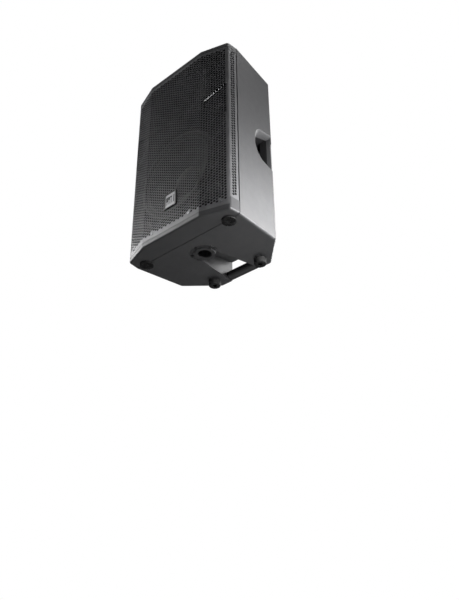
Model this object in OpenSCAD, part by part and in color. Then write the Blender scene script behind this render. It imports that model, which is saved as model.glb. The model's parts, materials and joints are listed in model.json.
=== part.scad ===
// Moulded two-way powered loudspeaker cabinet for a 35 mm pole.
// +X is right as the front is seen, +Y runs from front to rear, +Z is up.
// The sub-parts are drawn with z = 0 in the plane of the front shell's underside, on the pole
// socket's axis. The last lines lower them, so that the origin is the middle of the socket's bore.

/* [Cabinet] */
// Height of the front shell
cab_h = 610; // [604:1:616]
// Greatest width, at the joint between the shells
cab_w = 384; // [380:1:390]
// Depth from the grille's centre facet to the rear face
cab_d = 313; // [308:1:320]
// Depth of the front shell
front_d = 61; // [58:1:64]
// Distance of the pole socket's axis behind the grille's centre facet
socket_back = 135; // [132:1:138]
// Thickness of the moulded walls
wall = 5; // [4:0.5:6]
// Rise of the rear shell's underside for each millimetre of depth
floor_slope = 0.065; // [0.05:0.005:0.07]
// Fall of the rear shell's top for each millimetre of depth
roof_slope = 0.05; // [0.03:0.005:0.06]

/* [Drivers] */
// Height of the woofer's axis
woofer_z = 212; // [206:1:216]
// Radius of the woofer's frame
woofer_r = 153; // [150:0.5:154]
// Height of the horn's axis
horn_z = 505; // [502:1:507]
// Width of the horn's flange
horn_w = 244; // [236:2:248]
// Height of the horn's flange
horn_h = 146; // [140:2:148]

/* [Stand and controls] */
// Radius of the pole socket's bore, for a 35 mm pole
pole_r = 18; // [17.8:0.1:18.5]
// Depth of the pole socket
pole_depth = 100; // [80:5:110]
// Tapped radius of the rigging inserts' M8 thread
rig_r = 3.4; // [3.3:0.05:3.5]
// Radius of the volume knobs
knob_r = 9; // [8:0.5:10]

/* [Hidden] */
$fn = 48;

fit = 0.2;           // gap between pieces that are screwed together
run = 0.06;          // radial gap of a running fit
front_y = -socket_back;
rear_y = cab_d - socket_back;
seam_y = front_y + front_d;
half_w = cab_w / 2;
facet_x = 105;       // half width of the centre facet
facet_back = 27;     // how far the side facets fall back
facet_run = half_w - 4 - facet_x;
facet_len = norm([facet_run, facet_back]);
facet_angle = atan2(facet_back, facet_run);
corner_x = half_w - 13;
corner_y = rear_y - 88;
corner_face = 24.4;  // direction that the rear side corner points to
rear_x = 93;         // half width of the rear face
plan_r = 9;          // radius of the upright edges
edge_r = 6;          // radius of the top and bottom edges

// --- Outlines ---

function unit(v) = v / norm(v);
function inward(a, b) = let (d = unit(b - a)) [-d[1], d[0]];
function before(p, i) = p[(i + len(p) - 1) % len(p)];
function after(p, i) = p[(i + 1) % len(p)];

// A closed anticlockwise outline moved inwards by d
function inset(p, d) = [
    for (i = [0 : len(p) - 1])
        let (m = inward(before(p, i), p[i]), n = inward(p[i], after(p, i)))
        p[i] + (m + n) * d / (1 + m * n)
];

// The arc of radius r that rounds the corner b between a and c
function corner_arc(a, b, c, r, steps) =
    let (
        u = unit(a - b),
        v = unit(c - b),
        half = acos(u * v) / 2,
        centre = b + unit(u + v) * r / sin(half),
        p = b + u * r / tan(half) - centre,
        q = b + v * r / tan(half) - centre
    )
    [for (i = [0 : steps]) centre + r * unit(p * (steps - i) + q * i)];

function rounded(p, r, steps = 4) =
    [for (i = [0 : len(p) - 1]) each corner_arc(before(p, i), p[i], after(p, i), r, steps)];

function box_points(x0, y0, x1, y1) = [[x0, y0], [x1, y0], [x1, y1], [x0, y1]];

plan_right = [
    [facet_x, front_y],
    [half_w - 4, front_y + facet_back],
    [half_w, seam_y],
    [corner_x, corner_y],
    [rear_x, rear_y]
];
plan_corners = concat(
    plan_right,
    [for (i = [len(plan_right) - 1 : -1 : 0]) [-plan_right[i][0], plan_right[i][1]]]
);
function plan(d) = rounded(inset(plan_corners, d), max(plan_r - d, 2));

// --- Solids from outlines ---

// [x, y] outline between two heights
module upright(points, z0, z1) {
    translate([0, 0, z0]) linear_extrude(z1 - z0) polygon(points);
}

// [x, z] outline between two depths
module facing(points, y0, y1) {
    translate([0, y1, 0]) rotate([90, 0, 0]) linear_extrude(y1 - y0) polygon(points);
}

// [y, z] outline between two distances from the middle
module across(points, x0, x1) {
    translate([x0, 0, 0]) rotate([90, 0, 90]) linear_extrude(x1 - x0) polygon(points);
}

// [radius, y] outline turned about a front-to-rear axis at height z
module turned(z, points, smooth = 96) {
    translate([0, 0, z]) rotate([-90, 0, 0]) rotate_extrude($fn = smooth) polygon(points);
}

module rod(x, z, r, y0, y1) {
    translate([x, y0, z]) rotate([-90, 0, 0]) cylinder(r = r, h = y1 - y0);
}

module block(x0, y0, z0, x1, y1, z1) {
    translate([x0, y0, z0]) cube([x1 - x0, y1 - y0, z1 - z0]);
}

module both_sides() {
    children();
    mirror([1, 0, 0]) children();
}

// Local x runs out along the side facet and local y runs into the cabinet
module on_facet() {
    translate([facet_x, front_y, 0]) rotate([0, 0, facet_angle]) children();
}

// Pan head screw along Y; side is 1 for a shank towards the rear and -1 towards the front
module screw(x, z, y, side, head_r, head_h, shank_r, shank_l) {
    translate([x, y, z]) rotate([-90 * side, 0, 0]) difference() {
        union() {
            translate([0, 0, -head_h]) cylinder(r = head_r, h = head_h);
            cylinder(r = shank_r, h = shank_l);
        }
        translate([0, 0, -head_h - 1]) cylinder(r = head_r / 2, h = 1 + head_h / 2, $fn = 6);
    }
}

// Solid that joins equal rings of points, closed at both ends
module loft(rings) {
    n = len(rings[0]);
    last = (len(rings) - 1) * n;
    polyhedron(
        points = [for (ring = rings) each ring],
        faces = concat(
            [[for (i = [n - 1 : -1 : 0]) i]],
            [[for (i = [0 : n - 1]) last + i]],
            [for (k = [0 : len(rings) - 2], i = [0 : n - 1])
                [k * n + i, k * n + (i + 1) % n, (k + 1) * n + i]],
            [for (k = [0 : len(rings) - 2], i = [0 : n - 1])
                [k * n + (i + 1) % n, (k + 1) * n + (i + 1) % n, (k + 1) * n + i]]
        ),
        convexity = 6
    );
}

// --- Cabinet shells ---

// The plan moved inwards by d, at height z where the shells meet, sloping along the depth
function plan_ring(d, z, slope) = [for (p = plan(d)) [p[0], p[1], z + slope * (p[1] - seam_y)]];

// The cabinet's outside moved inwards by d, with rounded top and bottom edges
module cabinet(d, round_r, bottom_rise, top_fall) {
    function side(angle) = d + round_r * (1 - sin(angle));
    function up(angle) = d + round_r * (1 - cos(angle));
    loft(concat(
        [for (a = [0 : 30 : 90]) plan_ring(side(a), cab_h - up(a), -top_fall)],
        [for (a = [90 : -30 : 0]) plan_ring(side(a), up(a), bottom_rise)]
    ));
}

far = 400;
module ahead_of(y) { block(-far, -far, -far, far, y, 3 * far); }
module behind(y) { block(-far, y, -far, far, far, 3 * far); }
module seam_frame(d, y0, y1) {
    facing(rounded(box_points(d - half_w, d, half_w - d, cab_h - d), 12), y0, y1);
}

grille_z0 = 17;
grille_z1 = cab_h - 17;
sheet = 1.2;
flange_end = seam_y - 3.5;
ledge_z0 = 42;
ledge_z1 = cab_h - 30;
baffle_y = front_y + 26;
baffle_t = 6;
baffle_back = baffle_y + baffle_t;
seam_gap = 0.6;
groove = 1.8;        // width and depth of the groove that marks the joint
lip = 20;            // width of the flange where the shells meet
lip_t = 9;
shell_screw_x = half_w - 23;
shell_screw_zs = [66, 185, 300, 462, 552];
foot_x = 153;
foot_y = seam_y + 1;
foot_r = 19.5;
rear_foot_x = 86;
rear_foot_y = rear_y - 43;
rear_foot_r = 17.5;
foot_drop = 5;
foot_web = 1.8;       // rubber between a front foot's screw head and the shell
base_shank_l = 12;    // ends below the gasket
port_x = 130;
port_z = 76;
port_r = 25;
woofer_hole_r = woofer_r - 12;

// Grille edges seen from the side: [y, z]
function grille_side(d) = inset([
    [front_y - 10, grille_z0],
    [front_y + facet_back + 1, grille_z0],
    [front_y + facet_back + 1, 40],
    [flange_end, 40],
    [flange_end, cab_h - 35],
    [flange_end - 20, cab_h - 22],
    [front_y + facet_back + 1, cab_h - 22],
    [front_y + facet_back + 1, grille_z1],
    [front_y - 10, grille_z1]
], d);

// Everything outside the cabinet's outline moved inwards by d
module outside_plan(d) {
    difference() {
        block(-far, front_y - 20, -20, far, 0, cab_h + 20);
        upright(plan(d), -far, 2 * far);
    }
}

module shell_screw_places() {
    for (x = [-shell_screw_x, shell_screw_x], z = shell_screw_zs) translate([x, 0, z]) children();
}

module front_shell() {
    recess_y = front_y + facet_back + 3;
    color([0.13, 0.13, 0.135]) difference() {
        union() {
            difference() {
                intersection() {
                    cabinet(0, edge_r, 0, 0);
                    ahead_of(seam_y - seam_gap);
                }
                // Groove round the outside at the joint
                difference() {
                    block(-far, seam_y - groove, -20, far, seam_y, cab_h + 20);
                    cabinet(groove, edge_r - groove, 0, 0);
                }
                // Seat of the grille's three facets
                difference() {
                    block(-far, front_y - 20, grille_z0 - 0.6, far, front_y + facet_back + 1,
                        grille_z1 + 0.6);
                    upright(plan(sheet + 0.4), 0, cab_h);
                }
                // Recess behind the grille's side flanges, open to the joint
                intersection() {
                    outside_plan(4);
                    across([[recess_y - 5, 40], [seam_y + 5, 40], [seam_y + 5, cab_h - 38],
                        [seam_y, cab_h - 34], [flange_end - 18, cab_h - 20],
                        [recess_y - 5, cab_h - 20]], -far, far);
                }
                // Space between the grille and the baffle
                block(13 - half_w, front_y - 20, ledge_z0, half_w - 13, baffle_y, ledge_z1);
                // Inside, up to the flange at the joint
                intersection() {
                    upright(plan(9), wall, cab_h - wall);
                    block(-far, baffle_back, 0, far, seam_y - lip_t, cab_h);
                }
                seam_frame(lip, seam_y - lip_t - 1, seam_y);
            }
            shell_screw_places() rod(0, 0, 5.5, baffle_back - 1, seam_y - seam_gap);
            // Pads that carry the front feet across the joint
            both_sides() translate([foot_x, foot_y, 0]) cylinder(r = foot_r, h = wall);
        }
        rod(0, woofer_z, woofer_hole_r, baffle_y - 1, baffle_back + 1, $fn = 96);
        facing(rounded(box_points(-horn_w / 2 + 10, horn_z - horn_h / 2 + 8,
            horn_w / 2 - 10, horn_z + horn_h / 2 - 8), 14), baffle_y - 1, seam_y);
        both_sides() rod(port_x, port_z, port_r + 3 + fit, baffle_y - 1, baffle_back + 1);
        shell_screw_places() rod(0, 0, 2.6, baffle_y - 1, seam_y);
        driver_screw_places() rod(0, 0, 2.6, baffle_y - 1, seam_y);
        grille_screw_holes();
        both_sides() translate([foot_x, foot_y, -1]) cylinder(r = 2.7, h = 14);
        both_sides() pressing(-1, 0, press_d + sheet + 0.6);
        // Groove for the gasket
        difference() {
            seam_frame(11, seam_y - 2, seam_y);
            seam_frame(16, seam_y - 3, seam_y + 1);
        }
    }
}

// Side handle, right hand side: [y, z] outlines of the rim, of the hole and of the thick collar
// that the rim is cut into
rim_z0 = 243;
rim_z1 = 384;
rim_w = 6;           // width of the rim's sloping edge
rim_t = 4;           // depth of that edge
handle_rim = [
    [38, 256], [corner_y + 6, 249], [corner_y + 6, rim_z1 + 1], [30, 367], [15, 354], [7, 335],
    [6, 297], [17, 270]
];
handle_collar = [
    [-14, 240], [corner_y + 14, 236], [corner_y + 14, 398], [20, 382], [-14, 350]
];
collar_x = corner_x - 14;
side_lean = atan2(half_w - corner_x, corner_y - seam_y);
handle_hole = [
    [41, 262], [corner_y - 9, 258], [corner_y - 9, 367], [34, 349], [26, 338], [13, 291], [24, 271]
];
// [x, y] outline of the hand space behind the grip
hand_space = [
    [half_w + 30, 0], [half_w + 30, corner_y - 8], [corner_x - 5, corner_y - 8],
    [corner_x - 20, corner_y - 2], [corner_x - 30, corner_y + 12], [corner_x - 42, corner_y + 29],
    [corner_x - 58, corner_y + 22], [corner_x - 64, corner_y - 30], [corner_x - 40, 6],
    [corner_x - 4, 0]
];
hand_side = [
    [-10, 292], [4, 262], [40, 250], [corner_y + 60, 250], [corner_y + 60, 370], [corner_y - 9, 370],
    [30, 350], [4, 330]
];
cup_t = 3;

module hand_volume(d) {
    intersection() {
        upright(inset(hand_space, -d), rim_z0 - 20, rim_z1 + 20);
        across(inset(hand_side, -d), 60, half_w + 30);
    }
}

// Flat that sets the grip back from the upright corner
module grip_flat() {
    translate([corner_x, corner_y, 0]) rotate([0, 0, corner_face])
        rotate([90, 0, 0]) translate([0, 0, -40]) linear_extrude(80)
            polygon([[-4, 258], [20, 200], [20, 420], [-4, 347]]);
}

// Turns a child drawn on the plane x = half_w onto the rear shell's leaning side
module on_side() {
    translate([half_w, seam_y, 0]) rotate([0, 0, side_lean]) translate([-half_w, -seam_y, 0]) children();
}

module handle_cut() {
    hull() on_side() {
        across(handle_rim, half_w - 0.1, half_w + 20);
        across(inset(handle_rim, rim_w), half_w - rim_t, half_w + 20);
    }
    hull() {
        on_side() across(inset(handle_rim, rim_w), half_w - rim_t, half_w + 20);
        across(handle_hole, corner_x - 12, half_w + 20);
    }
    intersection() {
        hand_volume(0);
        across(handle_hole, corner_x - 100, half_w + 20);
    }
}

// Solid corner that the fingers wrap round
module grip_column() {
    intersection() {
        cabinet(1, edge_r, floor_slope, roof_slope);
        translate([corner_x - 12, corner_y + 2, rim_z0]) cylinder(r = 26, h = rim_z1 - rim_z0);
        behind(corner_y - 9);
    }
}

// Hand grip under the rear edge
hand_y0 = 13;
hand_rise = 0.311;
grip_hw = 50;
hand_plan = [[30, hand_y0], [57, rear_y + 20], [-57, rear_y + 20], [-30, hand_y0]];
hand_profile = [
    [hand_y0 - 60, -30], [rear_y + 20, -30],
    [rear_y + 20, 33 + hand_rise * (rear_y + 20 - hand_y0)], [hand_y0 - 60, 33 - hand_rise * 60]
];

module rear_hand_volume(d) {
    intersection() {
        upright(inset(hand_plan, -d), -30, 200);
        across(inset(hand_profile, -d), -80, 80);
    }
}

// Recess that protects the controls
panel_x = 80;
panel_z0 = 155;
panel_z1 = 555;
panel_depth = 28;
panel_y = rear_y - panel_depth;
panel_ledge = 10;

module panel_outline(d, y0, y1) {
    facing(rounded(box_points(d - panel_x, panel_z0 + d, panel_x - d, panel_z1 - d), 6), y0, y1);
}

rig_places = [[-110, 20], [110, 20]];
rig_h = 20;
function roof_z(y) = cab_h - roof_slope * (y - seam_y);
function floor_z(y) = floor_slope * (y - seam_y);

module rear_shell() {
    color([0.13, 0.13, 0.135]) difference() {
        union() {
            difference() {
                intersection() {
                    cabinet(0, edge_r, floor_slope, roof_slope);
                    behind(seam_y);
                }
                intersection() {
                    cabinet(wall, 3, floor_slope, roof_slope);
                    union() {
                        behind(seam_y + lip_t);
                        seam_frame(lip, seam_y - 1, seam_y + lip_t + 1);
                    }
                }
            }
            both_sides() grip_column();
            intersection() {
                cabinet(1, edge_r, floor_slope, roof_slope);
                both_sides() across(handle_collar, collar_x, half_w);
            }
            shell_screw_places() rod(0, 0, 5.5, seam_y, seam_y + 24);
            intersection() {
                cabinet(1, edge_r, floor_slope, roof_slope);
                union() {
                    rear_hand_volume(4);
                    panel_outline(-5, panel_y - 5, rear_y);
                    translate([0, 0, 2]) cylinder(r = 46, h = 10);
                }
            }
            // Bosses for the rigging inserts and the rear feet
            for (p = rig_places) translate([p[0], p[1], roof_z(p[1]) - rig_h - 8])
                cylinder(r = 13, h = rig_h + 4);
            both_sides() translate([rear_foot_x, rear_foot_y, floor_z(rear_foot_y) + wall / 2])
                cylinder(r = 7, h = 22);
        }
        both_sides() {
            handle_cut();
            grip_flat();
            translate([foot_x, foot_y, -1]) cylinder(r = foot_r + 0.5, h = wall + 3);
        }
        rear_hand_volume(0);
        panel_outline(0, panel_y, rear_y + 1);
        panel_outline(panel_ledge, panel_y - 6, panel_y + 1);
        shell_screw_places() rod(0, 0, 2.6, seam_y - 1, seam_y + 22);
        // Seat of the pole cup and its flange
        translate([0, 0, -1]) cylinder(r = 30 + fit, h = pole_depth + 20);
        translate([0, 0, -20]) cylinder(r = 41, h = 20 + cup_seat_z);
        for (p = rig_places) {
            translate([p[0], p[1], roof_z(p[1]) - rig_h - 3]) cylinder(r = 8 + fit, h = rig_h + 10);
            translate([p[0], p[1], roof_z(p[1]) - 2]) cylinder(r = 13, h = 10);
        }
        base_screw_holes();
        amp_screw_places() rod(0, 0, 2.2, panel_y - 5.5, panel_y + 1);
    }
}

module shell_gasket() {
    color("black") difference() {
        seam_frame(11.3, seam_y - 1.9, seam_y);
        seam_frame(15.7, seam_y - 3, seam_y + 1);
    }
}

module shell_screws() {
    color("silver") shell_screw_places() screw(0, 0, baffle_y, 1, 4.2, 1.6, 2.4, 52);
}

// --- Grille and badge ---

panel_cut = [[10, 371], [facet_len - 4, 330.5], [facet_len - 4, 446], [10, 402]];
press_d = 3;

module pressing(d, y0, y1) {
    on_facet() facing(inset(panel_cut, d), y0, y1);
}

module grille() {
    color([0.2, 0.2, 0.21]) difference() {
        union() {
            difference() {
                intersection() {
                    difference() {
                        upright(plan(0), grille_z0, grille_z1);
                        upright(plan(sheet), 0, cab_h);
                    }
                    across(grille_side(0), -far, far);
                }
                both_sides() pressing(0, -2, sheet + 1);
            }
            // Pressed panels and their edges
            both_sides() difference() {
                pressing(0, 0, press_d + sheet);
                pressing(sheet, -1, press_d);
            }
        }
        grille_screw_holes();
        block(-18, front_y - 1, badge_z - 18, 18, front_y + 2, badge_z + 18);
    }
}

centre_screw_x = 69;
facet_screw_u = 61;
grille_screw_z0 = 31;
grille_screw_z1 = cab_h - 24;

// A child drawn at the origin, with its axis along +Y, at each grille screw
module grille_screw_places() {
    for (z = [grille_screw_z0, grille_screw_z1]) {
        both_sides() translate([centre_screw_x, front_y, z]) children();
        both_sides() on_facet() translate([facet_screw_u, 0, z]) children();
    }
}

module grille_screw_holes() {
    grille_screw_places() rod(0, 0, 2.2, -2, 14);
}

module grille_screws() {
    color("silver") grille_screw_places() screw(0, 0, -0.02, 1, 3.4, 1.8, 1.9, 12);
}

badge_z = 109;
badge_w = 48;
badge_h = 50;
badge_t = 3.2;

module badge_frame() {
    color("black") difference() {
        union() {
            facing(rounded(box_points(-badge_w / 2, badge_z - badge_h / 2, badge_w / 2,
                badge_z + badge_h / 2), 3), front_y - badge_t, front_y);
            for (x = [-14, 14]) rod(x, badge_z, 2, front_y - 1, front_y + 4);
        }
        facing(rounded(box_points(-18, badge_z - 21, 18, badge_z + 21), 2),
            front_y - badge_t - 1, front_y - 1);
    }
}

module badge_plate() {
    color("silver") {
        facing(rounded(box_points(-17.8, badge_z - 20.8, 17.8, badge_z + 20.8), 2),
            front_y - 2.4, front_y - 1);
        // Plain level bars of rising height
        for (i = [0 : 3]) block(i * 7 - 13, front_y - 3, badge_z - 12, i * 7 - 8, front_y - 2.3,
            badge_z - 4 + i * 5);
    }
}

// --- Feet, pole socket, grips and rigging ---

cup_seat_z = 7.5;
cup_screw_angles = [200, 270, 340];
cup_screw_r = 35.5;

module front_feet() {
    color([0.1, 0.1, 0.1]) both_sides() translate([foot_x, foot_y, -foot_drop]) difference() {
        cylinder(r = foot_r, h = foot_drop);
        for (x = [-15 : 5 : 15]) if (abs(x) > 4)
            translate([x - 1.1, -foot_r, -1]) cube([2.2, 2 * foot_r, 3]);
        translate([0, 0, -1]) cylinder(r = 6.5, h = foot_drop - foot_web + 1);
        cylinder(r = 2.9, h = foot_drop + 1);
    }
}

module rear_feet() {
    top = floor_z(rear_foot_y);
    color([0.1, 0.1, 0.1]) difference() {
        both_sides() translate([rear_foot_x, rear_foot_y, -foot_drop]) difference() {
            rotate_extrude() polygon([[0, 0], [rear_foot_r - 1.5, 0], [rear_foot_r, 1.5],
                [rear_foot_r, 40], [0, 40]]);
            translate([0, 0, -1]) cylinder(r = 6.5, h = 17);
            cylinder(r = 2.9, h = 60);
        }
        across([[0, floor_z(0)], [far, floor_z(far)], [far, 100], [0, 100]], -far, far);
    }
}

// Child drawn pointing up at each screw that enters the underside: feet, then pole cup
module base_screw_places(seat_foot, seat_rear, seat_cup) {
    both_sides() translate([foot_x, foot_y, seat_foot]) children();
    both_sides() translate([rear_foot_x, rear_foot_y, seat_rear]) children();
    for (a = cup_screw_angles)
        translate([cup_screw_r * cos(a), cup_screw_r * sin(a), seat_cup]) children();
}

module base_screw_holes() {
    base_screw_places(-1, floor_z(rear_foot_y) - 3, cup_seat_z - 1) cylinder(r = 2.6, h = 21);
    both_sides() grip_screw_hole(2.6);
}

grip_y0 = rear_y - 30;
grip_z0 = 17;
grip_z1 = 38;
grip_y = (grip_y0 + rear_y) / 2 - 1;
grip_z = (grip_z0 + grip_z1) / 2;

// Local hole across the hand grip's end wall
module grip_screw_hole(r) {
    translate([grip_hw - 18, grip_y, grip_z]) rotate([0, 90, 0]) cylinder(r = r, h = 40);
}

module base_screws() {
    color("silver") {
        base_screw_places(-foot_web, -foot_drop + 16, cup_seat_z - 4)
            difference() {
                union() {
                    translate([0, 0, -2.8]) cylinder(r = 4.3, h = 2.8);
                    cylinder(r = 2.4, h = base_shank_l);
                }
                translate([0, 0, -3]) cylinder(r = 2, h = 1.6, $fn = 6);
            }
        both_sides() translate([grip_hw + 11, grip_y, grip_z]) rotate([0, -90, 0]) {
            cylinder(r = 2.4, h = 26);
            translate([0, 0, -2.8]) cylinder(r = 4.3, h = 2.8);
        }
    }
}

module pole_cup() {
    color([0.08, 0.08, 0.08]) difference() {
        union() {
            translate([0, 0, 1]) cylinder(r = 30, h = 36);
            translate([0, 0, 30]) cylinder(r = 24, h = pole_depth - 24);
            // Screw flange, cut off where the hand space begins
            intersection() {
                translate([0, 0, cup_seat_z - 4]) cylinder(r = 40, h = 4 - 0.05);
                block(-50, -50, 0, 50, hand_y0 - 5, 20);
            }
        }
        translate([0, 0, -1]) cylinder(r = pole_r, h = pole_depth + 1);
        translate([0, 0, 1 - 0.01]) cylinder(r1 = pole_r + 2, r2 = pole_r, h = socket_mouth - 1 + 0.01);
        for (a = cup_screw_angles)
            translate([cup_screw_r * cos(a), cup_screw_r * sin(a), 0]) {
                cylinder(r = 2.7, h = 20);
            }
    }
}

module rear_grip() {
    profile = rounded(box_points(grip_y0, grip_z0, rear_y - 1, grip_z1), 8, 6);
    color([0.09, 0.09, 0.09]) difference() {
        intersection() {
            across(profile, -70, 70);
            upright(inset(hand_plan, fit), -30, 200);
        }
        both_sides() grip_screw_hole(2.6);
    }
}

module handle_cup() {
    difference() {
        intersection() {
            hand_volume(cup_t);
            cabinet(wall + fit, 3, floor_slope, roof_slope);
        }
        hand_volume(0);
        grip_clearance();
        across(handle_collar, collar_x - fit, half_w);
    }
}

// Room for the grip column inside the cup
module grip_clearance() {
    translate([corner_x - 12, corner_y + 2, rim_z0 - 1]) intersection() {
        cylinder(r = 26 + fit, h = rim_z1 - rim_z0 + 2);
        block(-40, -11 - fit, 0, 40, 40, 300);
    }
}

module right_handle_cup() {
    color([0.05, 0.05, 0.05]) handle_cup();
}

module left_handle_cup() {
    color([0.05, 0.05, 0.05]) mirror([1, 0, 0]) handle_cup();
}

module rigging_inserts() {
    color("gold") for (p = rig_places) translate([p[0], p[1], roof_z(p[1]) - rig_h - 2.5]) difference() {
        cylinder(r = 8, h = rig_h);
        translate([0, 0, 2]) cylinder(r = rig_r, h = rig_h);
    }
}

module port_tubes() {
    length = 105;
    color([0.07, 0.07, 0.07]) both_sides() translate([port_x, baffle_y, port_z]) rotate([-90, 0, 0])
        rotate_extrude($fn = 64) polygon([
            [port_r, 3], [port_r + 2, 0], [port_r + 6, -2.5], [port_r + 8, -2.5], [port_r + 8, 0],
            [port_r + 3, 0], [port_r + 3, length], [port_r, length]
        ]);
}

module damping_wadding() {
    color([0.75, 0.74, 0.7]) {
        both_sides() block(half_w - 50, -30, 402, half_w - 28, 60, 560);
        block(-92, -20, cab_h - 40, 92, 70, cab_h - 22);
        block(-72, 60, 96, 72, 88, 128);
    }
}

// --- Woofer ---

basket_y = baffle_y - 5;       // front of the basket's flange
cone_r = 117;
coil_r = 32;
roll_r = 8;
spider_y = baffle_y + 47;
plate_y = baffle_y + 69;       // front of the magnet system
magnet_y = plate_y + 8;
yoke_y = magnet_y + 22;

// Woofer screws on the frame, then the horn's screws on its flange
module driver_screw_places() {
    for (a = [22.5 : 45 : 360])
        translate([(woofer_r - 6) * cos(a), 0, woofer_z + (woofer_r - 6) * sin(a)]) children();
    for (x = [-1, 0, 1], z = [-1, 1])
        translate([x * (horn_w / 2 - 5), 0, horn_z + z * (horn_h / 2 - (x == 0 ? 4 : 5))]) children();
}

module driver_screws() {
    woofer_top = woofer_z + woofer_r + 4;
    color([0.1, 0.1, 0.1]) {
        intersection() {
            driver_screw_places() screw(0, 0, basket_y - 2.5, 1, 4.5, 2.6, 2.4, 24);
            block(-far, -far, 0, far, far, woofer_top);
        }
        intersection() {
            driver_screw_places() screw(0, 0, baffle_y - 4, 1, 3.9, 2.6, 2.4, 20);
            block(-far, -far, woofer_top, far, far, cab_h);
        }
    }
}

module woofer_basket() {
    hole_r = woofer_hole_r - 1;
    color([0.22, 0.22, 0.23]) difference() {
        turned(woofer_z, [
            [134, basket_y], [woofer_r, basket_y], [woofer_r, baffle_y], [hole_r, baffle_y],
            [hole_r, baffle_y + 12], [104, spider_y - 4], [104, spider_y + 5], [84, plate_y - 6],
            [84, plate_y], [38, plate_y], [38, plate_y - 5], [78, plate_y - 5], [97, spider_y + 4.5],
            [88, spider_y + 4.5], [88, spider_y + 0.6], [99, spider_y + 0.6], [99, spider_y - 5],
            [134, baffle_y + 10]
        ]);
        for (a = [0 : 60 : 300]) translate([0, 0, woofer_z]) rotate([0, a, 0])
            block(-42, baffle_y + 16, 90, 42, spider_y - 8, 150);
        driver_screw_places() rod(0, 0, 2.6, basket_y - 1, baffle_y + 1);
    }
}

module woofer_gasket() {
    color("black") difference() {
        turned(woofer_z, [[141, basket_y - 2.5], [woofer_r, basket_y - 2.5], [woofer_r, basket_y],
            [141, basket_y]]);
        driver_screw_places() rod(0, 0, 2.6, basket_y - 5, baffle_y);
    }
}

function arc(cr, cy, r, from, to, steps) =
    [for (i = [0 : steps]) let (a = from + (to - from) * i / steps) [cr + r * cos(a), cy + r * sin(a)]];

module woofer_surround() {
    middle = cone_r + roll_r + 0.8;
    lip_y = basket_y - 0.1;
    color([0.08, 0.08, 0.08]) turned(woofer_z, concat(
        [[140.5, lip_y], [140.5, lip_y - 0.8]],
        arc(middle, lip_y - 0.8, roll_r + 0.4, 0, -180, 14),
        [[cone_r - 4, lip_y - 0.8], [cone_r - 4, lip_y]],
        arc(middle, lip_y, roll_r - 0.4, 180, 360, 14)
    ));
}

// Distance of the cone's front surface from the baffle at radius r
function cone_y(r) = basket_y + 0.4 + 46 * pow((cone_r - r) / (cone_r - coil_r), 0.85);

module woofer_cone() {
    steps = 10;
    radii = [for (i = [0 : steps]) coil_r + 0.6 + (cone_r - coil_r - 0.6) * i / steps];
    color([0.16, 0.16, 0.16]) turned(woofer_z, concat(
        [for (r = radii) [r, cone_y(r)]],
        [for (i = [steps : -1 : 0]) [radii[i], cone_y(radii[i]) + 1.2]]
    ));
}

module woofer_dust_cap() {
    base_r = 46;
    rise = 14;
    ball_r = (base_r * base_r + rise * rise) / (2 * rise);
    open_angle = asin(base_r / ball_r);
    base_y = cone_y(base_r) - 0.9;
    centre_y = base_y - rise + ball_r;
    color([0.12, 0.12, 0.12]) turned(woofer_z, concat(
        arc(0, centre_y, ball_r, -90, -90 + open_angle, 10),
        arc(0, centre_y, ball_r - 0.8, -90 + open_angle, -90, 10)
    ));
}

module woofer_spider() {
    waves = 5;
    steps = 60;
    r0 = coil_r + 2.2;
    r1 = 98;
    radii = [for (i = [0 : steps]) r0 + (r1 - r0) * i / steps];
    function wave_y(r) = spider_y - 2 + 1.6 * sin(360 * waves * (r - r0) / (r1 - 10 - r0))
        * (r < r1 - 10 ? 1 : 0) + (r < r1 - 10 ? 0 : 1.4);
    color([0.75, 0.6, 0.3]) turned(woofer_z, concat(
        [for (r = radii) [r, wave_y(r)]],
        [for (i = [steps : -1 : 0]) [radii[i], wave_y(radii[i]) + 0.8]]
    ));
}

module woofer_voice_coil() {
    wound_y = plate_y - 6;
    color([0.7, 0.35, 0.15]) turned(woofer_z, [
        [coil_r - 0.3, basket_y + 46.6], [coil_r + 0.3, basket_y + 46.6], [coil_r + 0.3, wound_y],
        [coil_r + 1.5, wound_y], [coil_r + 1.5, wound_y + 20], [coil_r - 0.3, wound_y + 20]
    ]);
}

module woofer_top_plate() {
    color([0.5, 0.5, 0.52]) turned(woofer_z, [
        [coil_r + 2.5, plate_y], [74, plate_y], [74, magnet_y], [coil_r + 2.5, magnet_y]
    ]);
}

module woofer_magnet() {
    color([0.25, 0.25, 0.27]) turned(woofer_z, [
        [coil_r + 6, magnet_y], [78, magnet_y], [78, yoke_y], [coil_r + 6, yoke_y]
    ]);
}

module woofer_yoke() {
    color([0.5, 0.5, 0.52]) turned(woofer_z, [
        [8, plate_y], [coil_r - 1.2, plate_y], [coil_r - 1.2, yoke_y], [70, yoke_y],
        [74, yoke_y + 3], [74, yoke_y + 8], [8, yoke_y + 8]
    ]);
}

// --- Horn and compression driver ---

throat_r = 12.7;
throat_y = baffle_y + 80;
horn_steps = 10;
horn_sides = 48;

// A ring between the rectangle of the mouth (share 1) and the circle of the throat (share 0)
function horn_ring(share, y, grow) = [
    for (i = [0 : horn_sides - 1])
        let (
            a = 360 * i / horn_sides,
            square_power = 2 + 6 * share,
            w = throat_r + (horn_w / 2 - 14 - throat_r) * pow(share, 1.6) + grow,
            h = throat_r + (horn_h / 2 - 11 - throat_r) * pow(share, 1.3) + grow,
            k = pow(pow(abs(cos(a)), square_power) + pow(abs(sin(a)), square_power), -1 / square_power)
        )
        [w * k * cos(a), y, horn_z + h * k * sin(a)]
];

module horn_body(y0, y1, grow) {
    loft([for (k = [0 : horn_steps]) let (share = 1 - k / horn_steps)
        horn_ring(share, y0 + (y1 - y0) * k / horn_steps, grow)]);
}

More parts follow.
